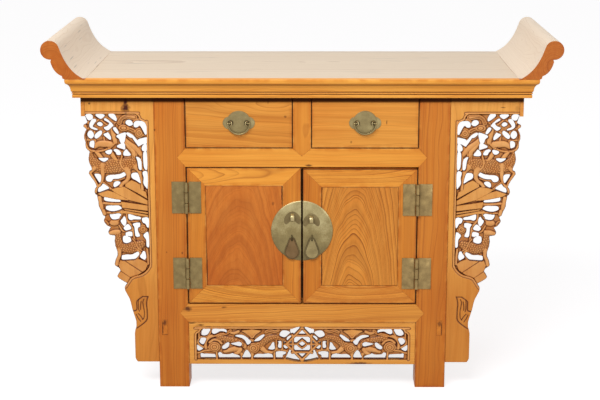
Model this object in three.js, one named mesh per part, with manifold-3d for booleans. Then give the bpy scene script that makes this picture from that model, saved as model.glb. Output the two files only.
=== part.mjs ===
// Altar cabinet in waxed softwood: two drawers over a pair of doors, a framed top with
// everted flanges at its ends, and openwork brackets carved with deer beside the front legs.
// Millimetres. +X is the viewer's right, +Y the back and +Z up. The origin is on the floor,
// in the middle of the cabinet's width and depth.

import * as THREE from 'three';
import { mergeVertices } from 'three/addons/utils/BufferGeometryUtils.js';
import Module from 'manifold-3d';

const wasm = await Module();
wasm.setup();

// Heights, from the floor up
const FOOT_CLEARANCE = 59; // floor to the apron
const APRON_HEIGHT = 111;
const BOTTOM_RAIL_HEIGHT = 46;
const DOOR_OPENING = 347;
const MID_RAIL_HEIGHT = 45;
const DRAWER_OPENING = 125.5;
const TOP_THICKNESS = 46.5;

// Widths, from the middle out
const CLEAR_WIDTH = 562; // between the front legs
const LEG_WIDTH = 74;
const BRACKET_REACH = 165.5; // the openwork bracket beside a leg
const END_BOARD = 9;
const END_OVERHANG = 31.5; // of the top past the end board

// Depths
const CARCASS_DEPTH = 414; // over the front and back legs
const FRONT_OVERHANG = 30; // of the top past the legs, at the front and the back
const LEG_DEPTH = 66;

// Joinery
const FIT = 0.3; // clearance between pieces that touch
const OVERRUN = 2; // how far a cut runs past what it cuts
const ARRIS = 1.5; // chamfer along a leg's corners
const SHOULDER = 12; // thickness of a pointed shoulder over a leg's face
const SHOULDER_POINT = 19.5; // reach of that point over the leg
const RAIL_DEPTH = 30;
const TENON = 34;
const TENON_THICKNESS = 12;
const TENON_INSET = 8; // from a rail's edges to its tenon's
const STOP_LIP = 10; // height of the lip that a door closes against

// Top frame
const FRONT_BOARD = 112;
const BACK_BOARD = 88;
const END_BOARD_RUN = 49; // width of the end piece below its flange
const MOULDING_INSET = 16;
const TOP_PANEL = 22;
const TONGUE = 9;
const TONGUE_THICKNESS = 9;
const FLANGE_RISE = 92;
const FLANGE_REACH = 54;
const SCROLL_RADIUS = 22.5;

// Boards
const SIDE_BOARD = 12;
const BACK_THICKNESS = 12;
const BACK_RAIL_HEIGHT = 46;
const BACK_RAIL_THICKNESS = 24;
const SHELF = 12;
const SIDE_RAIL_HEIGHT = 51;
const SIDE_RAIL_DEPTH = 31;
const SIDE_RAIL_DROP = 40; // from the bottom rail's foot to the side rail's foot
const THROUGH_TENON = 13;
const THROUGH_TENON_HEIGHT = 39;

// Drawers
const DIVIDER = 43;
const DIVIDER_POINT = 19;
const GUIDE_HEIGHT = 18;
const DRAWER_GAP = 1.5;
const DRAWER_TOP_GAP = 3;
const DRAWER_FRONT = 20;
const DRAWER_SIDE = 12;
const DRAWER_SIDE_HEIGHT = 104;
const DRAWER_BACK_HEIGHT = 92;
const DRAWER_BOTTOM = 6;
const DRAWER_BOTTOM_RISE = 8;
const DRAWER_GROOVE = 5;
const DRAWER_SIDE_INSET = 2.5;

// Doors
const DOOR_GAP = 2; // beside the legs and under the mid rail
const DOOR_SILL_GAP = 3;
const MEETING_GAP = 4;
const RIGHT_DOOR_SAG = 3.5; // which the right door's top leaves open over the left door's gap
const DOOR_THICKNESS = 20;
const DOOR_FRAME = 45;
const DOOR_PANEL = 13;
const DOOR_PANEL_RECESS = 0.8;
const DOOR_GROOVE = 8;
const DOOR_TONGUE = 6; // thickness of the panel's edge in the frame's groove
const PANEL_SHRINKAGE = 0.8; // gap between the panel's face and the frame

// Brackets and apron
const CARVING_THICKNESS = 20;
const OPENWORK_THICKNESS = 11; // the back is cut away behind the openwork
const CARVING_SETBACK = 3;
const BRACKET_FOOT = 65;
const END_BOARD_HEIGHT = 47.5;
const TWIG_SETBACK = 4; // how far thin stems lie behind the figures' faces

// Hinges
const HINGE_HEIGHT = 79;
const HINGE_LEAF = 35.5;
const HINGE_PLATE = 2;
const KNUCKLE_RADIUS = 5;
const PIN_RADIUS = 1.9;
const HINGE_RISE = 37.5; // from a door's bottom edge to its lower hinge
const LEFT_HINGE_DROP = 34.5; // from a door's top edge to its upper hinge
const RIGHT_HINGE_DROP = 36.5;

// Lock plate and drop pulls
const LOCK_RADIUS = 75;
const LOCK_PLATE = 2.5;
const LOCK_RISE = 14; // above the middle of the doors
const HASP_OFFSET = 23;
const HASP_RISE = 34;
const HASP_HEIGHT = 20;
const HASP_WIDTH = 9;
const HASP_REACH = 14;
const HASP_HOLE = 3.6;
const HASP_MOUNT = 1.2;
const STAPLE_DROP = 17.5; // from the lock plate's middle to the drop pull's axis
const STAPLE_OFFSET = 24.4;
const STAPLE_RADIUS = 5;
const STAPLE_WIRE = 1.2;
const STAPLE_STANDOFF = 2;
const DROP_LENGTH = 50;
const DROP_WIDTH = 32;
const DROP_THICKNESS = 2.4;
const DROP_HOLE = 2.7;
const DROP_RIM = 2.4;

// Drawer pulls
const PULL_RADIUS = 29.5;
const PULL_LOBE = 15;
const PULL_LOBE_OFFSET = 23.5;
const PULL_PLATE = 2;
const EYE_SPACING = 39;
const EYE_RADIUS = 4.2;
const EYE_BORE = 2.6;
const EYE_WIDTH = 3.2;
const EYE_STANDOFF = 5.5;
const BAIL_RADIUS = 24.5;
const BAIL_WIRE = 1.8;
const PULL_STUB = 3; // of the bail past the inner face of an eye

// Facets
const ARC_STEPS = 5;
const TWIG_SIDES = 4;
const FIGURE_SIDES = 6;
const OVAL_STEPS = 4;
const WIRE_SIDES = 8;
const FINE_WIRE_SIDES = 6;
const ROUND_STEPS = 12;
const DISC_STEPS = 30;

// Places worked out from the sizes above
const BOTTOM_RAIL_Z = FOOT_CLEARANCE + APRON_HEIGHT;
const SILL_Z = BOTTOM_RAIL_Z + BOTTOM_RAIL_HEIGHT;
const MID_RAIL_Z = SILL_Z + DOOR_OPENING;
const DRAWER_Z = MID_RAIL_Z + MID_RAIL_HEIGHT;
const UNDERSIDE_Z = DRAWER_Z + DRAWER_OPENING;
const TOP_Z = UNDERSIDE_Z + TOP_THICKNESS;
const LEG_INNER = CLEAR_WIDTH / 2;
const LEG_OUTER = LEG_INNER + LEG_WIDTH;
const BRACKET_OUTER = LEG_OUTER + BRACKET_REACH;
const TOP_HALF = BRACKET_OUTER + END_BOARD + END_OVERHANG;
const FRONT_Y = -CARCASS_DEPTH / 2;
const BACK_Y = CARCASS_DEPTH / 2;
const TOP_FRONT_Y = FRONT_Y - FRONT_OVERHANG;
const TOP_BACK_Y = BACK_Y + FRONT_OVERHANG;
const LEG_BACK_Y = FRONT_Y + LEG_DEPTH;
const SIDE_BOARD_X = LEG_OUTER - SIDE_RAIL_DEPTH / 2;
const SIDE_RAIL_Z = BOTTOM_RAIL_Z - SIDE_RAIL_DROP;
const BACK_BOARD_Y = BACK_Y - LEG_DEPTH / 2;
const DOOR_BACK_Y = FRONT_Y + DOOR_THICKNESS;

const AXIS_X = new THREE.Vector3(1, 0, 0);
const AXIS_Y = new THREE.Vector3(0, 1, 0);
const AXIS_Z = new THREE.Vector3(0, 0, 1);
const TURNS = {
  x: new THREE.Matrix4().makeBasis(AXIS_Y, AXIS_Z, AXIS_X),
  y: new THREE.Matrix4().makeBasis(AXIS_X, AXIS_Z, AXIS_Y.clone().negate()),
  z: new THREE.Matrix4(),
};

// Solids and geometries

function solidOf(geometry) {
  const bare = geometry.clone();
  bare.deleteAttribute('normal');
  bare.deleteAttribute('uv');
  const welded = mergeVertices(bare);
  const mesh = new wasm.Mesh({
    numProp: 3,
    vertProperties: Float32Array.from(welded.attributes.position.array),
    triVerts: Uint32Array.from(welded.index.array),
  });
  return new wasm.Manifold(mesh);
}

function geometryOf(solid) {
  const mesh = solid.getMesh();
  const geometry = new THREE.BufferGeometry();
  geometry.setAttribute('position', new THREE.BufferAttribute(mesh.vertProperties, mesh.numProp));
  geometry.setIndex(new THREE.BufferAttribute(mesh.triVerts, 1));
  return geometry;
}

function join(first, ...others) {
  return others.reduce((whole, next) => whole.add(next), first);
}

function cut(first, ...others) {
  return others.reduce((rest, next) => rest.subtract(next), first);
}

function mirrored(geometry) {
  const copy = geometry.clone();
  copy.scale(-1, 1, 1);
  const corners = copy.index.array;
  for (let i = 0; i < corners.length; i += 3) {
    [corners[i], corners[i + 1]] = [corners[i + 1], corners[i]];
  }
  return copy;
}

function block(x0, x1, y0, y1, z0, z1) {
  const geometry = new THREE.BoxGeometry(x1 - x0, y1 - y0, z1 - z0);
  geometry.translate((x0 + x1) / 2, (y0 + y1) / 2, (z0 + z1) / 2);
  return solidOf(geometry);
}

function outline(points) {
  return new THREE.Shape(points.map(([a, b]) => new THREE.Vector2(a, b)));
}

// A flat shape swept straight along one axis. The shape's own axes are y and z for a sweep
// along x, x and z for one along y, and x and y for one along z.
function swept(shape, axis, from, to, steps = ARC_STEPS) {
  const settings = { depth: to - from, bevelEnabled: false, curveSegments: steps };
  const geometry = new THREE.ExtrudeGeometry(shape, settings);
  geometry.applyMatrix4(TURNS[axis]);
  const start = axis === 'y' ? to : from;
  geometry.translate(
    axis === 'x' ? start : 0,
    axis === 'y' ? start : 0,
    axis === 'z' ? start : 0,
  );
  return solidOf(geometry);
}

function rod(axis, [x, y, z], radius, length, steps = ROUND_STEPS) {
  const geometry = new THREE.CylinderGeometry(radius, radius, length, steps);
  if (axis === 'x') geometry.rotateZ(Math.PI / 2);
  if (axis === 'z') geometry.rotateX(Math.PI / 2);
  geometry.translate(x, y, z);
  return solidOf(geometry);
}

// The scene: groups stand at the hinge axes and drawers, and each mesh at its own anchor

const cabinet = new THREE.Group();

function assembly(x, y, z) {
  const group = new THREE.Group();
  group.position.set(x, y, z);
  cabinet.add(group);
  return group;
}

function place(parent, name, geometry, look, anchor) {
  const [x, y, z] = anchor;
  const local = geometry.clone();
  local.translate(-x, -y, -z);
  local.computeVertexNormals();
  const mesh = new THREE.Mesh(local, new THREE.MeshStandardMaterial(look));
  mesh.name = name;
  mesh.position.set(x, y, z).sub(parent.position);
  parent.add(mesh);
}

function single(name, solid, look, anchor, parent = cabinet) {
  place(parent, name, geometryOf(solid), look, anchor);
}

// The right-hand piece as modelled, and its mirror image on the left
function pair(stem, tail, solid, look, anchor, right = cabinet, left = cabinet) {
  const geometry = geometryOf(solid);
  const [x, y, z] = anchor;
  place(right, `${stem}_right${tail}`, geometry, look, anchor);
  place(left, `${stem}_left${tail}`, mirrored(geometry), look, [-x, y, z]);
}

// Finishes
const HONEY = { color: 0xdf9a48, roughness: 0.42, metalness: 0 };
const LEG_WOOD = { color: 0xc87f38, roughness: 0.45, metalness: 0 };
const PANEL_WOOD = { color: 0xcb7c38, roughness: 0.4, metalness: 0 };
const PALE_TOP = { color: 0xdcae72, roughness: 0.4, metalness: 0 };
const CARVED_WOOD = { color: 0xc47a40, roughness: 0.5, metalness: 0 };
const INNER_WOOD = { color: 0xd8b27c, roughness: 0.7, metalness: 0 };
const AGED_BRASS = { color: 0x9a916a, roughness: 0.45, metalness: 0.85 };

// Top: moulded boards, end pieces with flanges, and a floating panel

// Steps of the moulding from the top edge down: inset, then height over the board's foot
const MOULDING_SHARES = [
  [0, 1],
  [0.06, 0.84],
  [0.06, 0.75],
  [0.32, 0.725],
  [0.52, 0.67],
  [0.58, 0.6],
  [0.62, 0.45],
  [0.8, 0.415],
  [0.84, 0.34],
  [1, 0.305],
  [1, 0.25],
  [0.95, 0.235],
  [0.95, 0],
];

// Flange shares: of its reach past the board's edge, and of its rise over the top
const FLANGE_INNER_SHARES = [
  [-0.37, 0.152],
  [-0.056, 0.391],
];
const FLANGE_LEDGE_SHARES = [
  [0.574, 0.457],
  [0.463, 0.174],
  [0.093, 0.087],
  [0.074, 0.027],
];
const SCROLL_START_SHARE = 0.905; // of a half turn, where the scroll leaves the inner curve
const SCROLL_END_SHARE = -0.53;

function mouldingPoints(place2d) {
  return MOULDING_SHARES.map(([inset, rise]) =>
    place2d(inset * MOULDING_INSET, UNDERSIDE_Z + rise * TOP_THICKNESS));
}

const TONGUE_Z = TOP_Z - (TOP_PANEL + TONGUE_THICKNESS) / 2;

// A frame board's section, with u running in from its outer edge
function boardSection(width, place2d) {
  return [
    ...mouldingPoints(place2d).reverse(),
    place2d(width, TOP_Z),
    place2d(width, TONGUE_Z + TONGUE_THICKNESS + FIT),
    place2d(width - TONGUE - FIT, TONGUE_Z + TONGUE_THICKNESS + FIT),
    place2d(width - TONGUE - FIT, TONGUE_Z - FIT),
    place2d(width, TONGUE_Z - FIT),
    place2d(width, UNDERSIDE_Z),
  ];
}

// One long board of the frame: mitred at its corners, then square where the end piece stops
function longBoard(width, side) {
  const edgeY = side * TOP_BACK_Y;
  const section = outline(boardSection(width, (u, z) => [edgeY - side * u, z]));
  const bar = swept(section, 'x', -TOP_HALF, TOP_HALF);
  const corner = TOP_HALF - FIT;
  const neck = corner - END_BOARD_RUN;
  const neckY = edgeY - side * END_BOARD_RUN;
  const innerY = edgeY - side * width;
  const plan = outline([
    [-corner, edgeY],
    [corner, edgeY],
    [neck, neckY],
    [neck, innerY],
    [-neck, innerY],
    [-neck, neckY],
  ]);
  return bar.intersect(swept(plan, 'z', UNDERSIDE_Z - OVERRUN, TOP_Z + OVERRUN));
}

function endPiece() {
  const reach = ([u, v]) => [TOP_HALF + u * FLANGE_REACH, TOP_Z + v * FLANGE_RISE];
  const inner = TOP_HALF - END_BOARD_RUN;
  const scrollX = TOP_HALF + FLANGE_REACH - SCROLL_RADIUS;
  const scrollZ = TOP_Z + FLANGE_RISE - SCROLL_RADIUS;
  const shape = new THREE.Shape();
  shape.moveTo(inner, UNDERSIDE_Z);
  shape.lineTo(inner, TONGUE_Z - FIT);
  shape.lineTo(inner + TONGUE + FIT, TONGUE_Z - FIT);
  shape.lineTo(inner + TONGUE + FIT, TONGUE_Z + TONGUE_THICKNESS + FIT);
  shape.lineTo(inner, TONGUE_Z + TONGUE_THICKNESS + FIT);
  shape.lineTo(inner, TOP_Z);
  const startTurn = SCROLL_START_SHARE * Math.PI;
  const bends = FLANGE_INNER_SHARES.map(reach).flat();
  const startX = scrollX + SCROLL_RADIUS * Math.cos(startTurn);
  const startZ = scrollZ + SCROLL_RADIUS * Math.sin(startTurn);
  shape.bezierCurveTo(...bends, startX, startZ);
  shape.absarc(scrollX, scrollZ, SCROLL_RADIUS, startTurn, SCROLL_END_SHARE * Math.PI, true);
  const [notch, swell, foot, step] = FLANGE_LEDGE_SHARES.map(reach);
  shape.lineTo(...notch);
  shape.quadraticCurveTo(...swell, ...foot);
  shape.lineTo(...step);
  mouldingPoints((u, z) => [TOP_HALF - u, z]).forEach(([x, z]) => shape.lineTo(x, z));
  const bar = swept(shape, 'y', TOP_FRONT_Y, TOP_BACK_Y, 2 * ARC_STEPS);
  const corner = (side) => {
    const edgeY = side * TOP_BACK_Y;
    return swept(outline([
      [TOP_HALF + OVERRUN, edgeY + side * OVERRUN],
      [inner - OVERRUN, edgeY - side * (END_BOARD_RUN + OVERRUN)],
      [inner - OVERRUN, edgeY + side * OVERRUN],
    ]), 'z', UNDERSIDE_Z - OVERRUN, TOP_Z + FIT);
  };
  return cut(bar, corner(-1), corner(1));
}

const topFrontY = TOP_FRONT_Y + FRONT_BOARD;
const topBackY = TOP_BACK_Y - BACK_BOARD;
const topInner = TOP_HALF - END_BOARD_RUN;

function topPanel() {
  const body = block(-topInner + FIT, topInner - FIT, topFrontY + FIT, topBackY - FIT,
    TOP_Z - TOP_PANEL, TOP_Z);
  const tongue = block(-topInner - TONGUE, topInner + TONGUE, topFrontY - TONGUE,
    topBackY + TONGUE, TONGUE_Z, TONGUE_Z + TONGUE_THICKNESS);
  return join(body, tongue);
}

single('top_front_board', longBoard(FRONT_BOARD, -1), PALE_TOP,
  [0, TOP_FRONT_Y + FRONT_BOARD / 2, TOP_Z]);
single('top_back_board', longBoard(BACK_BOARD, 1), PALE_TOP,
  [0, TOP_BACK_Y - BACK_BOARD / 2, TOP_Z]);
pair('top_end', '', endPiece(), PALE_TOP, [TOP_HALF, 0, TOP_Z]);
single('top_panel', topPanel(), PALE_TOP, [0, (topFrontY + topBackY) / 2, TOP_Z]);

// Carcass rails. Each is drawn grown by its clearance where it cuts its mortise in a leg

function pointedRail(z0, height, lipZ0, lipZ1, grow = 0) {
  const low = z0 - grow;
  const high = z0 + height + grow;
  const middle = z0 + height / 2;
  const tip = LEG_INNER + SHOULDER_POINT + grow;
  const neck = LEG_INNER + grow;
  const face = outline([
    [-neck, low],
    [neck, low],
    [tip, middle],
    [neck, high],
    [-neck, high],
    [-tip, middle],
  ]);
  const shoulderY = FRONT_Y + SHOULDER;
  const tenonEnd = LEG_INNER + TENON + grow;
  const bar = LEG_INNER - FIT;
  return join(
    swept(face, 'y', FRONT_Y - grow, shoulderY + grow),
    block(-bar, bar, FRONT_Y, FRONT_Y + RAIL_DEPTH, z0, z0 + height),
    block(-bar, bar, DOOR_BACK_Y + FIT, FRONT_Y + RAIL_DEPTH, lipZ0, lipZ1),
    block(-tenonEnd, tenonEnd, shoulderY - grow, shoulderY + TENON_THICKNESS + grow,
      z0 + TENON_INSET - grow, z0 + height - TENON_INSET + grow),
  );
}

function bottomRail(grow) {
  return pointedRail(BOTTOM_RAIL_Z, BOTTOM_RAIL_HEIGHT, SILL_Z - STOP_LIP, SILL_Z + STOP_LIP, grow);
}

function midRail(grow) {
  return pointedRail(MID_RAIL_Z, MID_RAIL_HEIGHT, MID_RAIL_Z - STOP_LIP, MID_RAIL_Z + STOP_LIP,
    grow);
}

// The post between the drawers, pointed over the mid rail, with the drawers' guide behind it
function divider(grow = 0) {
  const half = DIVIDER / 2 + grow;
  const foot = DRAWER_Z - DIVIDER_POINT - grow;
  const face = outline([
    [0, foot],
    [half, DRAWER_Z - grow],
    [half, UNDERSIDE_Z - FIT],
    [-half, UNDERSIDE_Z - FIT],
    [-half, DRAWER_Z - grow],
  ]);
  const shoulderY = FRONT_Y + SHOULDER;
  const tenonHalf = DIVIDER / 2 - TENON_INSET + grow;
  const floorZ = DRAWER_Z + FIT;
  return join(
    swept(face, 'y', FRONT_Y - grow, shoulderY + grow),
    block(-DIVIDER / 2, DIVIDER / 2, FRONT_Y, FRONT_Y + RAIL_DEPTH, floorZ, UNDERSIDE_Z - FIT),
    block(-tenonHalf, tenonHalf, shoulderY - grow, shoulderY + TENON_THICKNESS + grow,
      DRAWER_Z - DIVIDER_POINT - grow, floorZ + TENON_INSET),
    block(-DIVIDER / 2, DIVIDER / 2, FRONT_Y + RAIL_DEPTH - OVERRUN,
      BACK_BOARD_Y - BACK_THICKNESS / 2 - FIT, floorZ, floorZ + GUIDE_HEIGHT),
  );
}

single('bottom_rail_front', bottomRail(), HONEY, [0, FRONT_Y, BOTTOM_RAIL_Z]);
single('mid_rail_front', cut(midRail(), divider(FIT)), HONEY, [0, FRONT_Y, MID_RAIL_Z]);
single('drawer_divider', divider(), HONEY, [0, FRONT_Y, DRAWER_Z]);

// The low rail of a side, whose tenons pass through both legs and show on their faces
function sideRail(grow = 0) {
  const bodyZ = SIDE_RAIL_Z + (SIDE_RAIL_HEIGHT - THROUGH_TENON_HEIGHT) / 2;
  const half = THROUGH_TENON / 2 + grow;
  const bodyEnd = -LEG_BACK_Y - FIT;
  return join(
    block(LEG_OUTER - SIDE_RAIL_DEPTH, LEG_OUTER, -bodyEnd, bodyEnd, SIDE_RAIL_Z,
      SIDE_RAIL_Z + SIDE_RAIL_HEIGHT),
    block(SIDE_BOARD_X - half, SIDE_BOARD_X + half, FRONT_Y - grow, BACK_Y + grow,
      bodyZ - grow, bodyZ + THROUGH_TENON_HEIGHT + grow),
  );
}

function sideBoard(grow = 0) {
  const half = SIDE_BOARD / 2 + grow;
  const end = -LEG_BACK_Y + TONGUE + grow;
  return block(SIDE_BOARD_X - half, SIDE_BOARD_X + half, -end, end,
    SIDE_RAIL_Z + SIDE_RAIL_HEIGHT + FIT - grow, UNDERSIDE_Z - FIT + grow);
}

// The back board runs in grooves of the back legs and has its low rail glued across it
function backBoard(grow = 0) {
  const half = BACK_THICKNESS / 2 + grow;
  const end = LEG_INNER + TONGUE + grow;
  const board = block(-end, end, BACK_BOARD_Y - half, BACK_BOARD_Y + half,
    BOTTOM_RAIL_Z - grow, UNDERSIDE_Z - FIT + grow);
  const rail = block(-LEG_INNER + FIT, LEG_INNER - FIT, BACK_BOARD_Y - BACK_THICKNESS / 2,
    BACK_BOARD_Y + BACK_RAIL_THICKNESS, BOTTOM_RAIL_Z, BOTTOM_RAIL_Z + BACK_RAIL_HEIGHT);
  return join(board, rail);
}

function legBlank(y0, y1) {
  const x0 = LEG_INNER;
  const x1 = LEG_OUTER;
  return swept(outline([
    [x0 + ARRIS, y0],
    [x1 - ARRIS, y0],
    [x1, y0 + ARRIS],
    [x1, y1 - ARRIS],
    [x1 - ARRIS, y1],
    [x0 + ARRIS, y1],
    [x0, y1 - ARRIS],
    [x0, y0 + ARRIS],
  ]), 'z', 0, UNDERSIDE_Z - FIT);
}

const frontLeg = cut(legBlank(FRONT_Y, LEG_BACK_Y), bottomRail(FIT), midRail(FIT), sideRail(FIT),
  sideBoard(FIT));
const backLeg = cut(legBlank(-LEG_BACK_Y, BACK_Y), sideRail(FIT), sideBoard(FIT), backBoard(FIT));
const legX = LEG_INNER + LEG_WIDTH / 2;
pair('front_leg', '', frontLeg, LEG_WOOD, [legX, FRONT_Y + LEG_DEPTH / 2, 0]);
pair('back_leg', '', backLeg, LEG_WOOD, [legX, BACK_Y - LEG_DEPTH / 2, 0]);
pair('side_rail', '', sideRail(), LEG_WOOD, [SIDE_BOARD_X, 0, SIDE_RAIL_Z]);
pair('side_panel', '', sideBoard(), PANEL_WOOD, [SIDE_BOARD_X, 0, SILL_Z]);
single('back_panel', backBoard(), INNER_WOOD, [0, BACK_BOARD_Y, BOTTOM_RAIL_Z]);

// A board between the rails, wider between the legs, where it meets the side panels
function shelf(topZ) {
  const narrow = LEG_INNER - FIT;
  const wide = SIDE_BOARD_X - SIDE_BOARD / 2 - FIT;
  const frontY = FRONT_Y + RAIL_DEPTH + FIT;
  const backY = BACK_BOARD_Y - BACK_THICKNESS / 2 - FIT;
  const notchFront = LEG_BACK_Y + FIT;
  const notchBack = -LEG_BACK_Y - FIT;
  return swept(outline([
    [-narrow, frontY],
    [narrow, frontY],
    [narrow, notchFront],
    [wide, notchFront],
    [wide, notchBack],
    [narrow, notchBack],
    [narrow, backY],
    [-narrow, backY],
    [-narrow, notchBack],
    [-wide, notchBack],
    [-wide, notchFront],
    [-narrow, notchFront],
  ]), 'z', topZ - SHELF, topZ);
}

single('cupboard_floor', shelf(SILL_Z), INNER_WOOD, [0, 0, SILL_Z]);
single('drawer_shelf', shelf(DRAWER_Z), INNER_WOOD, [0, 0, DRAWER_Z]);

// Drawers: front, two sides, back and bottom

const DRAWER_X0 = DIVIDER / 2 + DRAWER_GAP;
const DRAWER_X1 = LEG_INNER - DRAWER_GAP;
const DRAWER_Z0 = DRAWER_Z + DRAWER_GAP;
const DRAWER_Z1 = UNDERSIDE_Z - DRAWER_TOP_GAP;
const DRAWER_MIDDLE = (DRAWER_X0 + DRAWER_X1) / 2;
const DRAWER_BACK_Y = BACK_BOARD_Y - BACK_THICKNESS / 2 - DRAWER_TOP_GAP;
const drawerRear = FRONT_Y + DRAWER_FRONT;

function drawerBottom(grow = 0) {
  const reach = DRAWER_GROOVE + grow;
  const sideInner0 = DRAWER_X0 + DRAWER_SIDE_INSET + DRAWER_SIDE;
  const sideInner1 = DRAWER_X1 - DRAWER_SIDE_INSET - DRAWER_SIDE;
  const z = DRAWER_Z0 + DRAWER_BOTTOM_RISE;
  return block(sideInner0 - reach, sideInner1 + reach, drawerRear - reach,
    DRAWER_BACK_Y + grow, z - grow, z + DRAWER_BOTTOM + grow);
}

// The sides stand a little below the front, and run on the shelf
function drawerSide(x0) {
  const z = DRAWER_Z + FIT;
  return cut(
    block(x0, x0 + DRAWER_SIDE, drawerRear + FIT, DRAWER_BACK_Y, z, z + DRAWER_SIDE_HEIGHT),
    drawerBottom(FIT),
  );
}

const rightDrawer = assembly(DRAWER_MIDDLE, FRONT_Y, DRAWER_Z0);
const leftDrawer = assembly(-DRAWER_MIDDLE, FRONT_Y, DRAWER_Z0);

function drawerPair(tail, solid, look, anchor) {
  pair('drawer', tail, solid, look, anchor, rightDrawer, leftDrawer);
}

const drawerFace = cut(
  block(DRAWER_X0, DRAWER_X1, FRONT_Y, drawerRear, DRAWER_Z0, DRAWER_Z1),
  drawerBottom(FIT),
);
const innerSideX = DRAWER_X0 + DRAWER_SIDE_INSET;
const outerSideX = DRAWER_X1 - DRAWER_SIDE_INSET - DRAWER_SIDE;
const drawerTopOfBottom = DRAWER_Z0 + DRAWER_BOTTOM_RISE + DRAWER_BOTTOM + FIT;
const drawerBack = block(innerSideX + DRAWER_SIDE + FIT, outerSideX - FIT,
  DRAWER_BACK_Y - DRAWER_SIDE, DRAWER_BACK_Y, drawerTopOfBottom,
  drawerTopOfBottom + DRAWER_BACK_HEIGHT);
drawerPair('_front', drawerFace, HONEY, [DRAWER_MIDDLE, FRONT_Y, DRAWER_Z0]);
drawerPair('_inner_side', drawerSide(innerSideX), INNER_WOOD, [innerSideX, 0, DRAWER_Z0]);
drawerPair('_outer_side', drawerSide(outerSideX), INNER_WOOD, [outerSideX, 0, DRAWER_Z0]);
drawerPair('_back', drawerBack, INNER_WOOD, [DRAWER_MIDDLE, DRAWER_BACK_Y, DRAWER_Z0]);
drawerPair('_bottom', drawerBottom(), INNER_WOOD, [DRAWER_MIDDLE, 0, DRAWER_Z0]);

// Drawer pulls: a lobed back plate with two eyes, and a bail that swings in them

const PULL_Z = DRAWER_Z + DRAWER_OPENING / 2;
const EYE_Y = FRONT_Y - PULL_PLATE - EYE_STANDOFF;

function pullPlate() {
  const plateY = FRONT_Y - PULL_PLATE / 2 - FIT / 2;
  const thickness = PULL_PLATE - FIT;
  let plate = rod('y', [DRAWER_MIDDLE, plateY, PULL_Z], PULL_RADIUS, thickness, DISC_STEPS);
  for (const side of [-1, 1]) {
    const eyeX = DRAWER_MIDDLE + side * EYE_SPACING / 2;
    const lobeX = DRAWER_MIDDLE + side * PULL_LOBE_OFFSET;
    const neckY = (FRONT_Y + EYE_Y) / 2;
    plate = join(
      plate,
      rod('y', [lobeX, plateY, PULL_Z], PULL_LOBE, thickness, DISC_STEPS / 2),
      rod('x', [eyeX, EYE_Y, PULL_Z], EYE_RADIUS, EYE_WIDTH),
      rod('y', [eyeX, neckY - FIT, PULL_Z], EYE_WIDTH / 2, FRONT_Y - EYE_Y - 2 * FIT,
        WIRE_SIDES),
    );
    plate = cut(plate, rod('x', [eyeX, EYE_Y, PULL_Z], EYE_BORE, EYE_WIDTH + OVERRUN));
  }
  return plate;
}

function wire(points, radius, steps, sides) {
  const section = new THREE.Shape();
  section.absarc(0, 0, radius, 0, 2 * Math.PI);
  const geometry = new THREE.ExtrudeGeometry(section, {
    steps,
    extrudePath: new THREE.CatmullRomCurve3(points.map((p) => new THREE.Vector3(...p))),
    curveSegments: sides / 2,
  });
  return solidOf(geometry);
}

// The bail's ends turn in through the eyes; between them it hangs as a half circle
function bail() {
  const inner = EYE_SPACING / 2 - EYE_WIDTH / 2 - PULL_STUB;
  const points = [];
  for (const side of [-1, 1]) {
    const faces = [inner, inner + PULL_STUB, inner + PULL_STUB + EYE_WIDTH + BAIL_WIRE / 2];
    const end = faces.map((x) => [DRAWER_MIDDLE + side * x, EYE_Y, PULL_Z]);
    points.push(...(side < 0 ? end : end.reverse()));
    if (side < 0) {
      for (let i = 1; i < ROUND_STEPS; i += 1) {
        const turn = Math.PI * (1 + i / ROUND_STEPS);
        const x = DRAWER_MIDDLE + BAIL_RADIUS * Math.cos(turn);
        points.push([x, EYE_Y, PULL_Z + BAIL_RADIUS * Math.sin(turn)]);
      }
    }
  }
  return wire(points, BAIL_WIRE, 2 * ROUND_STEPS, WIRE_SIDES);
}

const pullAnchor = [DRAWER_MIDDLE, EYE_Y, PULL_Z];
const rightBail = assembly(...pullAnchor);
const leftBail = assembly(-DRAWER_MIDDLE, EYE_Y, PULL_Z);
drawerPair('_pull_plate', pullPlate(), AGED_BRASS, [DRAWER_MIDDLE, FRONT_Y, PULL_Z]);
pair('drawer', '_bail', bail(), AGED_BRASS, pullAnchor, rightBail, leftBail);

// Doors: a mitred frame round a panel that is nearly flush with it. The right door has sagged
// and been planed, so that its top is lower

const DOOR_X0 = MEETING_GAP / 2;
const DOOR_X1 = LEG_INNER - DOOR_GAP;
const DOOR_Z0 = SILL_Z + DOOR_SILL_GAP;
const DOOR_Z1 = MID_RAIL_Z - DOOR_GAP;
const HINGE_X = LEG_INNER - DOOR_GAP / 2;
const HINGE_Y = FRONT_Y - KNUCKLE_RADIUS;

const rightDoor = assembly(HINGE_X, HINGE_Y, DOOR_Z0);
const leftDoor = assembly(-HINGE_X, HINGE_Y, DOOR_Z0);

function doorPair(tail, solid, look, anchor) {
  pair('door', tail, solid, look, anchor, rightDoor, leftDoor);
}

// What is drawn on the right, for the right-hand door or mirrored for the left-hand one
function onSide(side, parent, name, solid, look, [x, y, z]) {
  const geometry = geometryOf(solid);
  if (side === 'right') place(parent, name, geometry, look, [x, y, z]);
  else place(parent, name, mirrored(geometry), look, [-x, y, z]);
}

function panelTongue(topZ, grow = 0) {
  const edge = DOOR_FRAME - DOOR_GROOVE - grow;
  const backY = FRONT_Y + DOOR_PANEL_RECESS + DOOR_PANEL + grow;
  return block(DOOR_X0 + edge, DOOR_X1 - edge, backY - DOOR_TONGUE - 2 * grow, backY,
    DOOR_Z0 + edge, topZ - edge);
}

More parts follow.
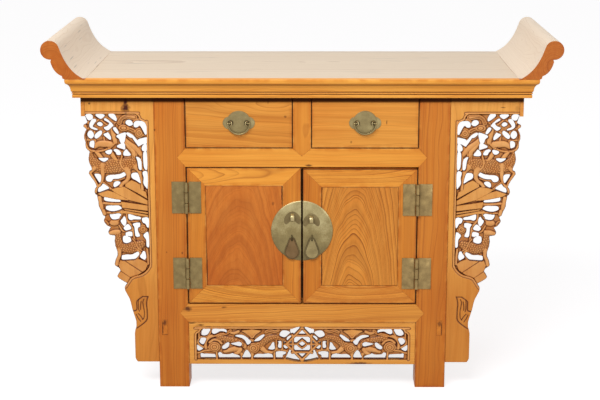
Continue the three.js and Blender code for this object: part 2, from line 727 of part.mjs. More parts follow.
function doorPanel(topZ) {
  const edge = DOOR_FRAME + PANEL_SHRINKAGE;
  const faceY = FRONT_Y + DOOR_PANEL_RECESS;
  const field = block(DOOR_X0 + edge, DOOR_X1 - edge, faceY, faceY + DOOR_PANEL,
    DOOR_Z0 + edge, topZ - edge);
  return join(field, panelTongue(topZ));
}

// A frame member between two mitres, given by its outer and inner edges in the door's face
function doorMember(topZ, corners) {
  return cut(swept(outline(corners), 'y', FRONT_Y, DOOR_BACK_Y), panelTongue(topZ, FIT));
}

const stile = (topZ, outer, inner) => doorMember(topZ, [
  [outer, DOOR_Z0],
  [outer, topZ],
  [inner, topZ - DOOR_FRAME],
  [inner, DOOR_Z0 + DOOR_FRAME],
]);
const crossMember = (topZ, outer, inner) => doorMember(topZ, [
  [DOOR_X0 + FIT, outer],
  [DOOR_X1 - FIT, outer],
  [DOOR_X1 - DOOR_FRAME - FIT, inner],
  [DOOR_X0 + DOOR_FRAME + FIT, inner],
]);
const doorMiddle = (DOOR_X0 + DOOR_X1) / 2;
const doors = {
  right: { parent: rightDoor, topZ: DOOR_Z1 - RIGHT_DOOR_SAG, drop: RIGHT_HINGE_DROP },
  left: { parent: leftDoor, topZ: DOOR_Z1, drop: LEFT_HINGE_DROP },
};
for (const [side, { parent, topZ }] of Object.entries(doors)) {
  const add = (tail, solid, look, anchor) =>
    onSide(side, parent, `door_${side}${tail}`, solid, look, anchor);
  add('_hinge_stile', stile(topZ, DOOR_X1, DOOR_X1 - DOOR_FRAME), HONEY,
    [DOOR_X1, FRONT_Y, DOOR_Z0]);
  add('_meeting_stile', stile(topZ, DOOR_X0, DOOR_X0 + DOOR_FRAME), HONEY,
    [DOOR_X0, FRONT_Y, DOOR_Z0]);
  add('_top_rail', crossMember(topZ, topZ, topZ - DOOR_FRAME), HONEY,
    [doorMiddle, FRONT_Y, topZ]);
  add('_bottom_rail', crossMember(topZ, DOOR_Z0, DOOR_Z0 + DOOR_FRAME), HONEY,
    [doorMiddle, FRONT_Y, DOOR_Z0]);
  add('_panel', doorPanel(topZ), PANEL_WOOD, [doorMiddle, FRONT_Y, DOOR_Z0]);
}

// Hinges: plates on the faces of the leg and the door, with three knuckles between them

const KNUCKLE = HINGE_HEIGHT / 3;
const PLATE_BACK_Y = FRONT_Y - FIT;

// side is 1 for the leaf on the leg and -1 for the leaf on the door
function hingePlate(middleZ, side) {
  const near = HINGE_X + side * FIT;
  const clear = HINGE_X + side * (KNUCKLE_RADIUS + FIT);
  const far = HINGE_X + side * HINGE_LEAF;
  const ends = HINGE_HEIGHT / 2;
  const band = KNUCKLE / 2;
  const outerEdge = side > 0 ? near : clear;
  const middleEdge = side > 0 ? clear : near;
  const leaf = outline([
    [far, middleZ - ends],
    [outerEdge, middleZ - ends],
    [outerEdge, middleZ - band - side * FIT],
    [middleEdge, middleZ - band - side * FIT],
    [middleEdge, middleZ + band + side * FIT],
    [outerEdge, middleZ + band + side * FIT],
    [outerEdge, middleZ + ends],
    [far, middleZ + ends],
  ]);
  return swept(leaf, 'y', FRONT_Y - HINGE_PLATE, PLATE_BACK_Y);
}

function fixedLeaf(middleZ) {
  const knuckle = KNUCKLE - FIT;
  const offset = (HINGE_HEIGHT - knuckle) / 2;
  return join(
    hingePlate(middleZ, 1),
    rod('z', [HINGE_X, HINGE_Y - FIT, middleZ - offset], KNUCKLE_RADIUS - FIT, knuckle),
    rod('z', [HINGE_X, HINGE_Y - FIT, middleZ + offset], KNUCKLE_RADIUS - FIT, knuckle),
    rod('z', [HINGE_X, HINGE_Y - FIT, middleZ], PIN_RADIUS, KNUCKLE + OVERRUN),
  );
}

function doorLeaf(middleZ) {
  const barrel = rod('z', [HINGE_X, HINGE_Y - FIT, middleZ], KNUCKLE_RADIUS - FIT, KNUCKLE - FIT);
  const bore = rod('z', [HINGE_X, HINGE_Y - FIT, middleZ], PIN_RADIUS + FIT, KNUCKLE + OVERRUN);
  return cut(join(hingePlate(middleZ, -1), barrel), bore);
}

for (const [side, { parent, topZ, drop }] of Object.entries(doors)) {
  const levels = {
    lower: DOOR_Z0 + HINGE_RISE + HINGE_HEIGHT / 2,
    upper: topZ - drop - HINGE_HEIGHT / 2,
  };
  for (const [level, middleZ] of Object.entries(levels)) {
    const name = `hinge_${side}_${level}`;
    const anchor = [HINGE_X, HINGE_Y, middleZ];
    onSide(side, cabinet, `${name}_leg_leaf`, fixedLeaf(middleZ), AGED_BRASS, anchor);
    onSide(side, parent, `${name}_door_leaf`, doorLeaf(middleZ), AGED_BRASS, anchor);
  }
}

// Lock plate: half a disc on each door, with a padlock hasp and the staple of a drop pull

const LOCK_Z = (DOOR_Z0 + DOOR_Z1) / 2 + LOCK_RISE;
const LOCK_FACE_Y = FRONT_Y - LOCK_PLATE;
const STAPLE_Y = LOCK_FACE_Y - STAPLE_STANDOFF;
const STAPLE_Z = LOCK_Z - STAPLE_DROP;

// The cast mount under a hasp, two wings below a round crown: shares of half its width
// and of the hasp's height
const MOUNT_SHARES = [
  [0, -0.55],
  [0.55, -0.95],
  [1, -0.75],
  [0.85, -0.1],
  [0.45, 0.5],
  [0, 0.75],
];
const MOUNT_WIDTH_SHARE = 2; // of half the hasp's height
const FACET_EDGE_SHARE = 0.5; // of the lock plate's thickness, as a chamfer round it

function lockPlate() {
  const chamfer = FACET_EDGE_SHARE * LOCK_PLATE;
  const face = FIT - LOCK_PLATE;
  const profile = [
    [0, face],
    [LOCK_RADIUS - chamfer, face],
    [LOCK_RADIUS, face + chamfer],
    [LOCK_RADIUS, 0],
    [0, 0],
  ].map(([x, y]) => new THREE.Vector2(x, y));
  const disc = new THREE.LatheGeometry(profile, DISC_STEPS);
  disc.translate(0, PLATE_BACK_Y, LOCK_Z);
  const beyond = LOCK_RADIUS + OVERRUN;
  const half = solidOf(disc).intersect(block(DOOR_X0, beyond, FRONT_Y - beyond, BACK_Y,
    LOCK_Z - beyond, LOCK_Z + beyond));
  const haspZ = LOCK_Z + HASP_RISE;
  const wing = MOUNT_WIDTH_SHARE * HASP_HEIGHT / 2;
  const side = (s) => MOUNT_SHARES.map(([u, v]) => [HASP_OFFSET + s * u * wing,
    haspZ + v * HASP_HEIGHT]);
  const mountShape = outline([...side(1), ...side(-1).reverse().slice(1, -1)]);
  const mountBack = LOCK_FACE_Y + LOCK_PLATE / 2;
  const hasp = block(HASP_OFFSET - HASP_WIDTH / 2, HASP_OFFSET + HASP_WIDTH / 2,
    LOCK_FACE_Y - HASP_REACH, mountBack, haspZ - HASP_HEIGHT / 2, haspZ + HASP_HEIGHT / 2);
  const eye = rod('x', [HASP_OFFSET, LOCK_FACE_Y - HASP_REACH / 2, haspZ], HASP_HOLE,
    HASP_WIDTH + OVERRUN);
  const points = [];
  for (let i = 0; i <= ROUND_STEPS; i += 1) {
    const turn = Math.PI * (i / ROUND_STEPS - 1 / 2);
    points.push([STAPLE_OFFSET, STAPLE_Y - STAPLE_RADIUS * Math.cos(turn),
      STAPLE_Z + STAPLE_RADIUS * Math.sin(turn)]);
  }
  const legs = (z) => [STAPLE_OFFSET, mountBack, STAPLE_Z + z];
  points.unshift(legs(-STAPLE_RADIUS));
  points.push(legs(STAPLE_RADIUS));
  return join(half, swept(mountShape, 'y', LOCK_FACE_Y - HASP_MOUNT, mountBack),
    cut(hasp, eye), wire(points, STAPLE_WIRE, ROUND_STEPS, FINE_WIRE_SIDES));
}

// A teardrop of plate: round at its foot and drawn in to the rim of its hole
function dropPull() {
  const holeZ = STAPLE_Z - STAPLE_RADIUS;
  const rim = DROP_HOLE + DROP_RIM;
  const belly = DROP_WIDTH / 2;
  const bellyZ = STAPLE_Z - DROP_LENGTH + belly;
  const shape = new THREE.Shape();
  const lean = Math.asin((belly - rim) / (holeZ - bellyZ));
  shape.absarc(0, bellyZ, belly, Math.PI - lean, 2 * Math.PI + lean);
  shape.absarc(0, holeZ, rim, lean, Math.PI - lean);
  const hole = new THREE.Path();
  hole.absarc(0, holeZ, DROP_HOLE, 0, 2 * Math.PI, true);
  shape.holes.push(hole);
  const half = DROP_THICKNESS / 2;
  const geometry = geometryOf(swept(shape, 'y', STAPLE_Y - half, STAPLE_Y + half, ARC_STEPS));
  geometry.translate(STAPLE_OFFSET, 0, 0);
  return solidOf(geometry);
}

doorPair('_lock_plate', lockPlate(), AGED_BRASS, [DOOR_X0, FRONT_Y, LOCK_Z]);
const dropAnchor = [STAPLE_OFFSET, STAPLE_Y, STAPLE_Z];
const rightDrop = assembly(...dropAnchor);
const leftDrop = assembly(-STAPLE_OFFSET, STAPLE_Y, STAPLE_Z);
pair('door', '_drop_pull', dropPull(), AGED_BRASS, dropAnchor, rightDrop, leftDrop);

// Carving. A pattern is drawn on squares, and a table gives squares as shares of the
// pattern's columns and rows, so that the carving stretches with its board. A stroke is a
// list of [column, row, radius]; an oval is [column, row, half width, half height].

const CARVING_FRONT_Y = FRONT_Y + CARVING_SETBACK;
const CARVING_BACK_Y = CARVING_FRONT_Y + CARVING_THICKNESS;
const OPENWORK_BACK_Y = CARVING_FRONT_Y + OPENWORK_THICKNESS;

// The width and height of one square
const BRACKET_COLUMN_SHARE = 1 / 16.55; // of the bracket's reach
const BRACKET_ROW_SHARE = 1 / 66.85; // of its height
const APRON_COLUMN_SHARE = 1 / 28.1; // of half the apron's length
const APRON_ROW_SHARE = 1 / 11.1; // of its height

const bracketGrid = {
  x: LEG_OUTER,
  z: BRACKET_FOOT,
  column: BRACKET_REACH * BRACKET_COLUMN_SHARE,
  row: (UNDERSIDE_Z - BRACKET_FOOT) * BRACKET_ROW_SHARE,
};
const apronGrid = {
  x: 0,
  z: FOOT_CLEARANCE,
  column: LEG_INNER * APRON_COLUMN_SHARE,
  row: APRON_HEIGHT * APRON_ROW_SHARE,
};

const BRACKET_OPENING_SHARES = [
  [1.8, 59.9],
  [1.9, 27],
  [2, 25.5],
  [2.4, 24.5],
  [3.1, 23.5],
  [4, 22.6],
  [5.3, 21.8],
  [6.3, 21.5],
  [6.9, 20.7],
  [7.6, 19.8],
  [8.2, 19.3],
];
const BRACKET_SHOULDER_SHARES = [
  [4.7, 62.6],
  [4.1, 62.3],
  [3.7, 61.6],
  [3.3, 61],
  [2.7, 60.9],
  [2.1, 60.6],
];
const BRACKET_EDGE_SHARES = [
  [7.6, 18.3],
  [7.1, 16],
  [6.5, 13.4],
  [5.7, 10.8],
  [6.1, 8.2],
  [6.1, 5.6],
  [6, 3],
  [5.8, 0.8],
  [5, 0],
];

const LATTICE_SHARES = [
  [[14.5, 62.7, 0.32], [9.7, 58.7, 0.32]],
  [[11.5, 62.7, 0.32], [9.1, 60.7, 0.32]],
  [[11.5, 62.7, 0.32], [16.3, 58.7, 0.32]],
  [[14.5, 62.7, 0.32], [16.4, 61, 0.32]],
  [[16.3, 60.7, 0.32], [12.3, 57.3, 0.32]],
  [[9.1, 60.7, 0.32], [12.9, 57.5, 0.32]],
  [[16, 62.4, 0.32], [15.7, 60.6, 0.32]],
  [[16.5, 59.7, 0.5], [16.3, 59, 0.35], [16.8, 57.5, 0.35], [16.6, 56.1, 0.35]],
  [[16.6, 56.1, 0.35], [16.5, 54.9, 0.35], [15.7, 53.8, 0.35], [14, 53.4, 0.35]],
  [[14, 53.4, 0.35], [12.3, 53.7, 0.35], [10.7, 54.4, 0.35], [9.7, 55.3, 0.35]],
  [[14.4, 59.2, 0.35], [14.3, 55, 0.35]],
  [[12.3, 57.6, 0.35], [12, 55.6, 0.35]],
  [[16.6, 56.3, 0.35], [14.2, 56.1, 0.35]],
];
const BRANCH_SHARES = [
  [[2.6, 57.5, 0.35], [1.7, 57.3, 0.35]],
  [[9, 54, 0.3], [7.8, 53.3, 0.3]],
  [[1.7, 55.5, 0.32], [3.5, 54.9, 0.32]],
  [[1.7, 53.5, 0.32], [3.3, 53.5, 0.32]],
  [[3.3, 54.7, 0.3], [3.2, 53, 0.3], [3.1, 51, 0.3], [3.1, 49.1, 0.3], [1.8, 48.7, 0.3]],
  [[3.1, 48, 0.3], [3, 46, 0.3], [2.5, 44.5, 0.3], [1.8, 44, 0.3]],
  [[10.3, 46.5, 0.3], [7.5, 46.9, 0.3]],
  [[12.7, 46, 0.4], [11, 44.2, 0.4]],
  [[12.5, 40.7, 0.4], [8.4, 40.5, 0.4]],
  [[11.5, 38.2, 0.3], [8.1, 38.9, 0.3]],
  [[8.3, 38.3, 0.3], [9.2, 36.8, 0.3], [9.6, 36, 0.3]],
  [[8.9, 35, 0.3], [8.1, 33.5, 0.3], [6.3, 33.7, 0.3], [5.5, 33.9, 0.3]],
  [[7.2, 38, 0.3], [7, 36, 0.3], [5.7, 34.7, 0.3], [5.5, 33.5, 0.3], [5, 31, 0.3]],
  [[6.9, 36.2, 0.3], [3.9, 36.5, 0.3], [3.4, 35.3, 0.3]],
  [[2.4, 29.7, 0.4], [2.2, 25.3, 0.4]],
  [[12.5, 37.8, 0.6], [11.9, 36.3, 0.7], [11, 35.6, 0.5]],
];
const BLOSSOM_SHARES = [
  [[10, 58, 0.7], [9.5, 56.3, 0.6], [10, 55.6, 0.5]],
  [[8.3, 60.3, 0.8], [9.1, 60.7, 0.4]],
  [[4.7, 61.9, 0.9], [6.5, 62.1, 0.65], [7.6, 61.4, 0.5], [8.3, 60.5, 0.5]],
  [[5, 58.5, 0.6], [6.1, 58.9, 0.5]],
  [[6.9, 56.3, 0.5], [5, 54.3, 0.9], [4.1, 53.5, 0.7]],
  [[6.9, 55.3, 0.5], [5.7, 53.5, 0.8], [5, 53, 0.7], [5, 51.8, 0.6]],
  [[13.5, 41.9, 0.7], [13.4, 40.5, 0.7], [12.9, 39, 0.6], [12.5, 37.8, 0.6]],
];
const DEER_SHARES = [
  [[14.4, 54.4, 0.7], [12.7, 55.3, 0.9], [10.5, 55.3, 0.9]],
  [[15.9, 53.8, 0.5], [15.7, 52.7, 0.6], [15.3, 51.3, 1], [14.5, 50.3, 1.4]],
  [[14.4, 49.9, 1.6], [12, 49.6, 1.9], [8, 49.9, 1.9], [5.6, 50.6, 1.5]],
  [[15.3, 49, 0.5], [15.9, 48, 0.4], [14.2, 45.2, 0.4], [13.7, 44.6, 0.35]],
  [[12.5, 49.5, 0.9], [12.7, 47, 0.5], [13.5, 45.5, 0.4], [14.5, 44, 0.35], [14.4, 42.7, 0.35]],
  [[7, 48.7, 0.9], [6.5, 47.2, 0.7], [7.7, 45.7, 0.6], [9.3, 44, 0.5]],
  [[4.5, 49.5, 0.9], [3.5, 48.3, 0.5], [3.3, 46, 0.4], [3.1, 44, 0.5]],
  [[7.6, 53, 0.35], [7.9, 51, 0.35]],
  [[14, 53.3, 0.4], [13.5, 52.6, 0.7], [12.6, 51.4, 0.5]],
  [[11, 54.2, 0.4], [10.3, 52.7, 0.7], [9.6, 51.5, 0.5]],
  [[11.1, 33.2, 0.7], [9.3, 33.2, 0.8], [9.5, 32, 0.9], [9.8, 30.5, 0.9]],
  [[9.3, 30, 1.2], [7, 29.5, 1.6], [5, 29.8, 1.4], [3.5, 30.4, 1]],
  [[9.2, 28.9, 0.7], [9.1, 27.3, 0.45], [10, 25.7, 0.5], [9.8, 24.7, 0.45]],
  [[4.5, 28.7, 0.5], [3.7, 27.8, 0.3], [4.7, 26.8, 0.3], [5.3, 25.9, 0.5]],
];
const OVAL_SHARES = [
  [7.3, 59.2, 1.5, 0.9],
  [3.6, 58, 1.15, 1.3],
  [10.2, 35.3, 1.4, 1],
];
const ROCK_SHARES = [
  [[7.3, 45.5], [5.8, 46.5], [3.7, 45.5], [3.7, 44.3], [2.3, 43.5], [1.7, 43], [1.7, 36.9],
    [7, 37.9], [11.5, 38.2], [7.8, 39], [8.3, 39.4], [8.6, 41.2], [14.2, 42.8], [11.5, 43.9],
    [11, 44.2]],
  [[4.2, 34.9], [3.3, 35.5], [2.7, 34.3], [1.7, 33.9], [1.7, 33.1], [3.1, 32.5], [4, 31],
    [4.4, 33.3]],
  [[9.1, 26.3], [8.1, 26.2], [4.5, 26.5], [3.1, 26], [1.7, 25.6], [1.7, 22], [6.7, 20.5],
    [7.6, 20.2], [9.7, 21.6], [10, 22.3], [9.2, 23.6], [9.6, 25]],
];

const APRON_OPENING_SHARES = [
  [26.2, 1.2],
  [26.2, 7.9],
  [25.7, 8.1],
  [25.5, 8.6],
  [25, 8.8],
  [24.8, 9.1],
];
const APRON_STROKE_SHARES = [
  [[23, 9.3, 0.3], [23.2, 8.1, 0.3], [23.8, 6.9, 0.3], [25.2, 6.7, 0.3], [25.8, 5.9, 0.3]],
  [[25.8, 5.9, 0.3], [25.5, 4.9, 0.3], [24.3, 4.1, 0.3], [23, 4.3, 0.4]],
  [[21.8, 4.4, 1.5], [23.2, 5.1, 1], [22.2, 6.6, 0.9], [20, 7.1, 0.9], [17.8, 6.7, 1]],
  [[17.8, 6.7, 1], [16, 5.9, 0.6], [15, 4.9, 0.4], [14.6, 3.9, 0.35], [13.5, 3.8, 0.4]],
  [[21.8, 3.4, 0.5], [14.8, 3.5, 0.4]],
  [[21.3, 3, 0.35], [21.2, 1.1, 0.3]],
  [[16.8, 3.3, 0.4], [16.5, 1.1, 0.4]],
  [[17.5, 4.5, 0.25], [17.5, 3.5, 0.25]],
  [[19.5, 9, 0.5], [18.5, 8.5, 0.6], [16, 7.9, 0.6], [14.5, 7.6, 0.5]],
  [[17.6, 8.2, 0.5], [17.6, 7, 0.5]],
  [[12.3, 3.9, 1.5], [10.8, 3.3, 1.2], [10, 4.1, 1.2], [8.8, 5.6, 1.1], [7.2, 7.1, 1]],
  [[7.2, 7.1, 1], [6, 7.6, 0.9], [5.5, 8.6, 0.5], [5.4, 9.3, 0.5]],
  [[9.5, 2.6, 0.7], [7.8, 2.7, 0.4], [6.8, 2.1, 0.4], [6.6, 1.1, 0.4]],
  [[12.4, 3, 0.8], [12.6, 1.1, 0.5]],
  [[12.4, 6.6, 0.5], [12.4, 5, 0.7]],
  [[6.2, 6.8, 0.4], [4.5, 5.9, 0.35], [3.6, 4.9, 0.35]],
  [[8.5, 8.1, 0.35], [7, 8.9, 0.35], [5.5, 8.3, 0.35]],
  [[7.7, 3.6, 0.4], [3.5, 3.6, 0.4]],
  [[6.4, 6.3, 0.25], [6.2, 3.7, 0.25]],
  [[4.8, 5.9, 0.25], [4.7, 3.7, 0.25]],
  [[4, 3.6, 0.3], [3.8, 2.6, 0.3], [4.2, 1.1, 0.3]],
  [[26.4, 2.6, 0.3], [25, 2.5, 0.3], [24.3, 3.4, 0.3], [23, 3.6, 0.4]],
];
const APRON_CLOTH_SHARES = [
  [14.8, 7.9], [12.8, 9.3], [10.8, 8.4], [9.8, 7.9], [12, 6.3], [12.8, 6.2],
];
// A plain lozenge laced through a square, in the middle of the apron
const KNOT_SHARES = [
  [[0, 9.3, 0.38], [3.9, 5.1, 0.38], [0, 1, 0.38]],
  [[0, 7.3, 0.34], [2.3, 7.3, 0.34], [2.3, 3, 0.34], [0, 3, 0.34]],
  [[0, 6.2, 0.3], [1.1, 5.1, 0.3], [0, 4.1, 0.3]],
  [[1.1, 5.1, 0.3], [3.9, 5.1, 0.3]],
];

function onGrid(grid, [u, v]) {
  return [grid.x + u * grid.column, grid.z + v * grid.row];
}

// The corners of a circle's polygon, all of which are turned alike so that the bands that
// meet at one circle share its corners
function roundCorners([x, z], radius, sides) {
  return Array.from({ length: sides }, (_, i) => {
    const turn = (2 * Math.PI * i) / sides;
    return [x + radius * Math.cos(turn), z + radius * Math.sin(turn)];
  });
}

// The band round two circles is the convex outline round their corners
function strokeShape(from, fromRadius, to, toRadius, sides) {
  const corners = [...roundCorners(from, fromRadius, sides), ...roundCorners(to, toRadius, sides)];
  corners.sort((p, q) => p[0] - q[0] || p[1] - q[1]);
  const turnsRight = ([ax, ay], [bx, by], [cx, cy]) =>
    (bx - ax) * (cy - ay) - (by - ay) * (cx - ax) <= 0;
  const chain = (points) => {
    const edge = [];
    for (const point of points) {
      while (edge.length > 1 && turnsRight(edge.at(-2), edge.at(-1), point)) edge.pop();
      edge.push(point);
    }
    return edge.slice(0, -1);
  };
  return outline([...chain(corners), ...chain(corners.reverse())]);
}

function carved(shape, setback = 0) {
  return swept(shape, 'y', CARVING_FRONT_Y + setback, OPENWORK_BACK_Y, OVAL_STEPS);
}

function fullThickness(shape) {
  return swept(shape, 'y', CARVING_FRONT_Y, CARVING_BACK_Y);
}

function strokes(grid, table, sides, setback) {
  const unit = Math.min(grid.column, grid.row);
  const bands = [];
  for (const stroke of table) {
    for (let i = 1; i < stroke.length; i += 1) {
      const [from, to] = [stroke[i - 1], stroke[i]];
      const shape = strokeShape(onGrid(grid, from), from[2] * unit, onGrid(grid, to), to[2] * unit,
        sides);
      bands.push(carved(shape, setback));
    }
  }
  return bands;
}

function ovals(grid, table) {
  return table.map(([u, v, across, up]) => {
    const shape = new THREE.Shape();
    shape.absellipse(...onGrid(grid, [u, v]), across * grid.column, up * grid.row, 0, 2 * Math.PI);
    return carved(shape);
  });
}

function facets(grid, table) {
  return table.map((points) => carved(outline(points.map((p) => onGrid(grid, p)))));
}

// The bracket's board: a top bar, a strip down the leg and a solid, shaped foot
function bracketBoard() {
  const near = LEG_OUTER + FIT;
  const topZ = UNDERSIDE_Z - FIT;
  const [, barZ] = onGrid(bracketGrid, BRACKET_SHOULDER_SHARES[0]);
  const smooth = (table) => new THREE.SplineCurve(
    table.map((p) => new THREE.Vector2(...onGrid(bracketGrid, p))),
  ).getPoints(table.length + 2);
  const shape = new THREE.Shape();
  shape.moveTo(near, topZ);
  shape.lineTo(near, BRACKET_FOOT);
  smooth([...BRACKET_EDGE_SHARES].reverse()).forEach((p) => shape.lineTo(p.x, p.y));
  smooth([...BRACKET_OPENING_SHARES].reverse()).forEach((p) => shape.lineTo(p.x, p.y));
  smooth([...BRACKET_SHOULDER_SHARES].reverse()).forEach((p) => shape.lineTo(p.x, p.y));
  shape.lineTo(BRACKET_OUTER - FIT, barZ);
  shape.lineTo(BRACKET_OUTER - FIT, topZ);
  return fullThickness(shape);
}

function bracket() {
  return join(
    bracketBoard(),
    ...strokes(bracketGrid, LATTICE_SHARES, TWIG_SIDES, TWIG_SETBACK),
    ...strokes(bracketGrid, BRANCH_SHARES, TWIG_SIDES, TWIG_SETBACK),
    ...strokes(bracketGrid, BLOSSOM_SHARES, FIGURE_SIDES),
    ...strokes(bracketGrid, DEER_SHARES, FIGURE_SIDES),
    ...ovals(bracketGrid, OVAL_SHARES),
    ...facets(bracketGrid, ROCK_SHARES),
  );
}

function apron() {
  const half = LEG_INNER - FIT;
  const topZ = BOTTOM_RAIL_Z - FIT;
  const side = APRON_OPENING_SHARES.map((p) => onGrid(apronGrid, p));
  const board = fullThickness(outline([
    [-half, FOOT_CLEARANCE],
    [half, FOOT_CLEARANCE],
    [half, topZ],
    [-half, topZ],
  ]));
  const opening = swept(outline([...side, ...side.map(([x, z]) => [-x, z]).reverse()]), 'y',
    CARVING_FRONT_Y - OVERRUN, CARVING_BACK_Y + OVERRUN);
  const rightHalf = join(
    ...strokes(apronGrid, APRON_STROKE_SHARES, TWIG_SIDES),
    ...strokes(apronGrid, KNOT_SHARES, TWIG_SIDES),
    ...facets(apronGrid, [APRON_CLOTH_SHARES]),
  );
  const leftHalf = solidOf(mirrored(geometryOf(rightHalf)));
  return join(cut(board, opening), rightHalf, leftHalf);
}

pair('bracket', '', bracket(), CARVED_WOOD, [LEG_OUTER, CARVING_FRONT_Y, UNDERSIDE_Z]);
single('apron', apron(), CARVED_WOOD, [0, CARVING_FRONT_Y, BOTTOM_RAIL_Z]);

// The boards that close the top's ends run from the front bracket to the back
const endBoard = block(BRACKET_OUTER, BRACKET_OUTER + END_BOARD, CARVING_FRONT_Y, -CARVING_FRONT_Y,
  UNDERSIDE_Z - END_BOARD_HEIGHT, UNDERSIDE_Z - FIT);
pair('end_board', '', endBoard, HONEY, [BRACKET_OUTER, 0, UNDERSIDE_Z]);

export default cabinet;
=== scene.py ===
# Altar cabinet in waxed softwood. The joinery, doors and drawers stand as they were built. This
# script gives them their finishes, carves the openwork brackets and the apron, and makes the
# moulded top and the brass fittings.

import math
from functools import partial, reduce

import bmesh
import bpy
import numpy as np
from mathutils import Euler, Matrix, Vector


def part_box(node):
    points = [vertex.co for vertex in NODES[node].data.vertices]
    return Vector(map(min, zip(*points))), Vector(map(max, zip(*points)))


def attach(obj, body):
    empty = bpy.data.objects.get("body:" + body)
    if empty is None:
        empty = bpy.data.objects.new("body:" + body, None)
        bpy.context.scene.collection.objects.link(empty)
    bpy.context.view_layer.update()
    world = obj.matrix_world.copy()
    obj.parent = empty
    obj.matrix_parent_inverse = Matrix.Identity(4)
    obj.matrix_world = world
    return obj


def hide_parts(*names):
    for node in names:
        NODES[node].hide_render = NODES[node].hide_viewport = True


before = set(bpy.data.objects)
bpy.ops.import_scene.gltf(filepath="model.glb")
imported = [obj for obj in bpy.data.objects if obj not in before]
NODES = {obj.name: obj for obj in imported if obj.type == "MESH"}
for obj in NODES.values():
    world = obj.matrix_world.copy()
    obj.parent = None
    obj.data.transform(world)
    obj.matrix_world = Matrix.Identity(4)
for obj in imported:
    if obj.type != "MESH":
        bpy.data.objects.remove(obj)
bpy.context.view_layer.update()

MM = 0.001
QUARTER = 90
TOP = 780 * MM
SHARP = math.radians(40)  # edges that turn by more than this are rounded off
SIDES = {"left": -1, "right": 1}
scene = bpy.context.scene


def radians(*angles):
    return [math.radians(angle) for angle in angles]


# Camera: the photograph's viewpoint, a little above the top and right of the middle

CAMERA_DIP, CAMERA_ROLL, CAMERA_TURN = 13.77, 0.05, 0.52  # degrees

camera = bpy.data.objects.new("camera", bpy.data.cameras.new("camera"))
camera.data.lens = 90
camera.data.clip_end = 50
camera.location = (0.028, -3.737, 1.346)
camera.rotation_euler = radians(90 - CAMERA_DIP, CAMERA_ROLL, CAMERA_TURN)
scene.collection.objects.link(camera)
scene.camera = camera
scene.view_settings.view_transform = "Standard"

# Material nodes

WHITE = (1, 1, 1, 1)


def colour(code):
    """An sRGB hex colour as the linear one that shaders take."""
    channels = [int(code[i : i + 2], 16) / 255 for i in (0, 2, 4)]
    linear = [c / 12.92 if c <= 0.04045 else ((c + 0.055) / 1.055) ** 2.4 for c in channels]
    return (*linear, 1.0)


def node(tree, kind, *values, named=(), stops=(), **settings):
    """A new node with its settings. kind is its type, and after a space its operation or way of
    mixing. The values go to its inputs in their order, or by name, and each is a number, a hex
    colour, or the node or socket that feeds it. Stops are the places and colours of a ramp."""
    kind, _, mode = kind.partition(" ")
    made = tree.nodes.new("ShaderNode" + kind)
    if kind == "Mix":
        made.data_type = "RGBA"
    if mode:
        setattr(made, "blend_type" if kind == "Mix" else "operation", mode)
    for name, value in settings.items():
        setattr(made, name, value)
    live = [socket for socket in made.inputs if socket.enabled]
    for socket, value in [*zip(live, values), *((made.inputs[key], named[key]) for key in named)]:
        if isinstance(value, bpy.types.Node):
            value = next(output for output in value.outputs if output.enabled)
        if isinstance(value, bpy.types.NodeSocket):
            tree.links.new(value, socket)
        else:
            socket.default_value = colour(value) if isinstance(value, str) else value
    if stops:
        bar = made.color_ramp.elements
        bar[0].position, bar[0].color = stops[0]
        bar[1].position, bar[1].color = stops[-1]
        for place, shade in stops[1:-1]:
            bar.new(place).color = shade
    return made


def finish_of(name):
    """A new material and the maker of its nodes."""
    material = bpy.data.materials.new(name)
    material.use_nodes = True
    material.node_tree.nodes.clear()
    return material, partial(node, material.node_tree)


def drawn_out(add, place, waves, detail, roughness=0.5):
    """Noise with its own number of waves a metre along each axis."""
    stretched = add("VectorMath MULTIPLY", place, waves)
    return add("TexNoise", stretched, 1.0, detail, roughness)


def edge_distance(add, place, low, high):
    """Metres from a board's nearest long edge, for a point on its surface."""
    local = add("VectorMath SUBTRACT", place, (low + high) / 2)
    inward = add("VectorMath SUBTRACT", (high - low) / 2, add("VectorMath ABSOLUTE", local))
    x, y, z = add("SeparateXYZ", inward).outputs
    further = add("Math MINIMUM", add("Math MAXIMUM", x, y), z)
    return add("Math MAXIMUM", add("Math MINIMUM", x, y), further)


GRAIN_TURNS = {"x": (0, QUARTER, 0), "y": (QUARTER, 0, 0), "z": (0, 0, 0)}
LATEWOOD = ((0, 0), (0.62, 0.16), (0.84, 0.55), (0.93, 1), (1, 0))  # darkness through a ring
SHINE = 0.22
UNDER_TOP = 723  # height of the shadow line under the top
TOP_ZONE = 0.75  # the boards of the top reach higher than this
WAX_ENDS = (-0.217, -0.209)  # between these depths the top's front strip goes over to the pale of the upward faces
RIM_LEAN = 8.0  # the strip gets this much deeper for its rise on a scroll


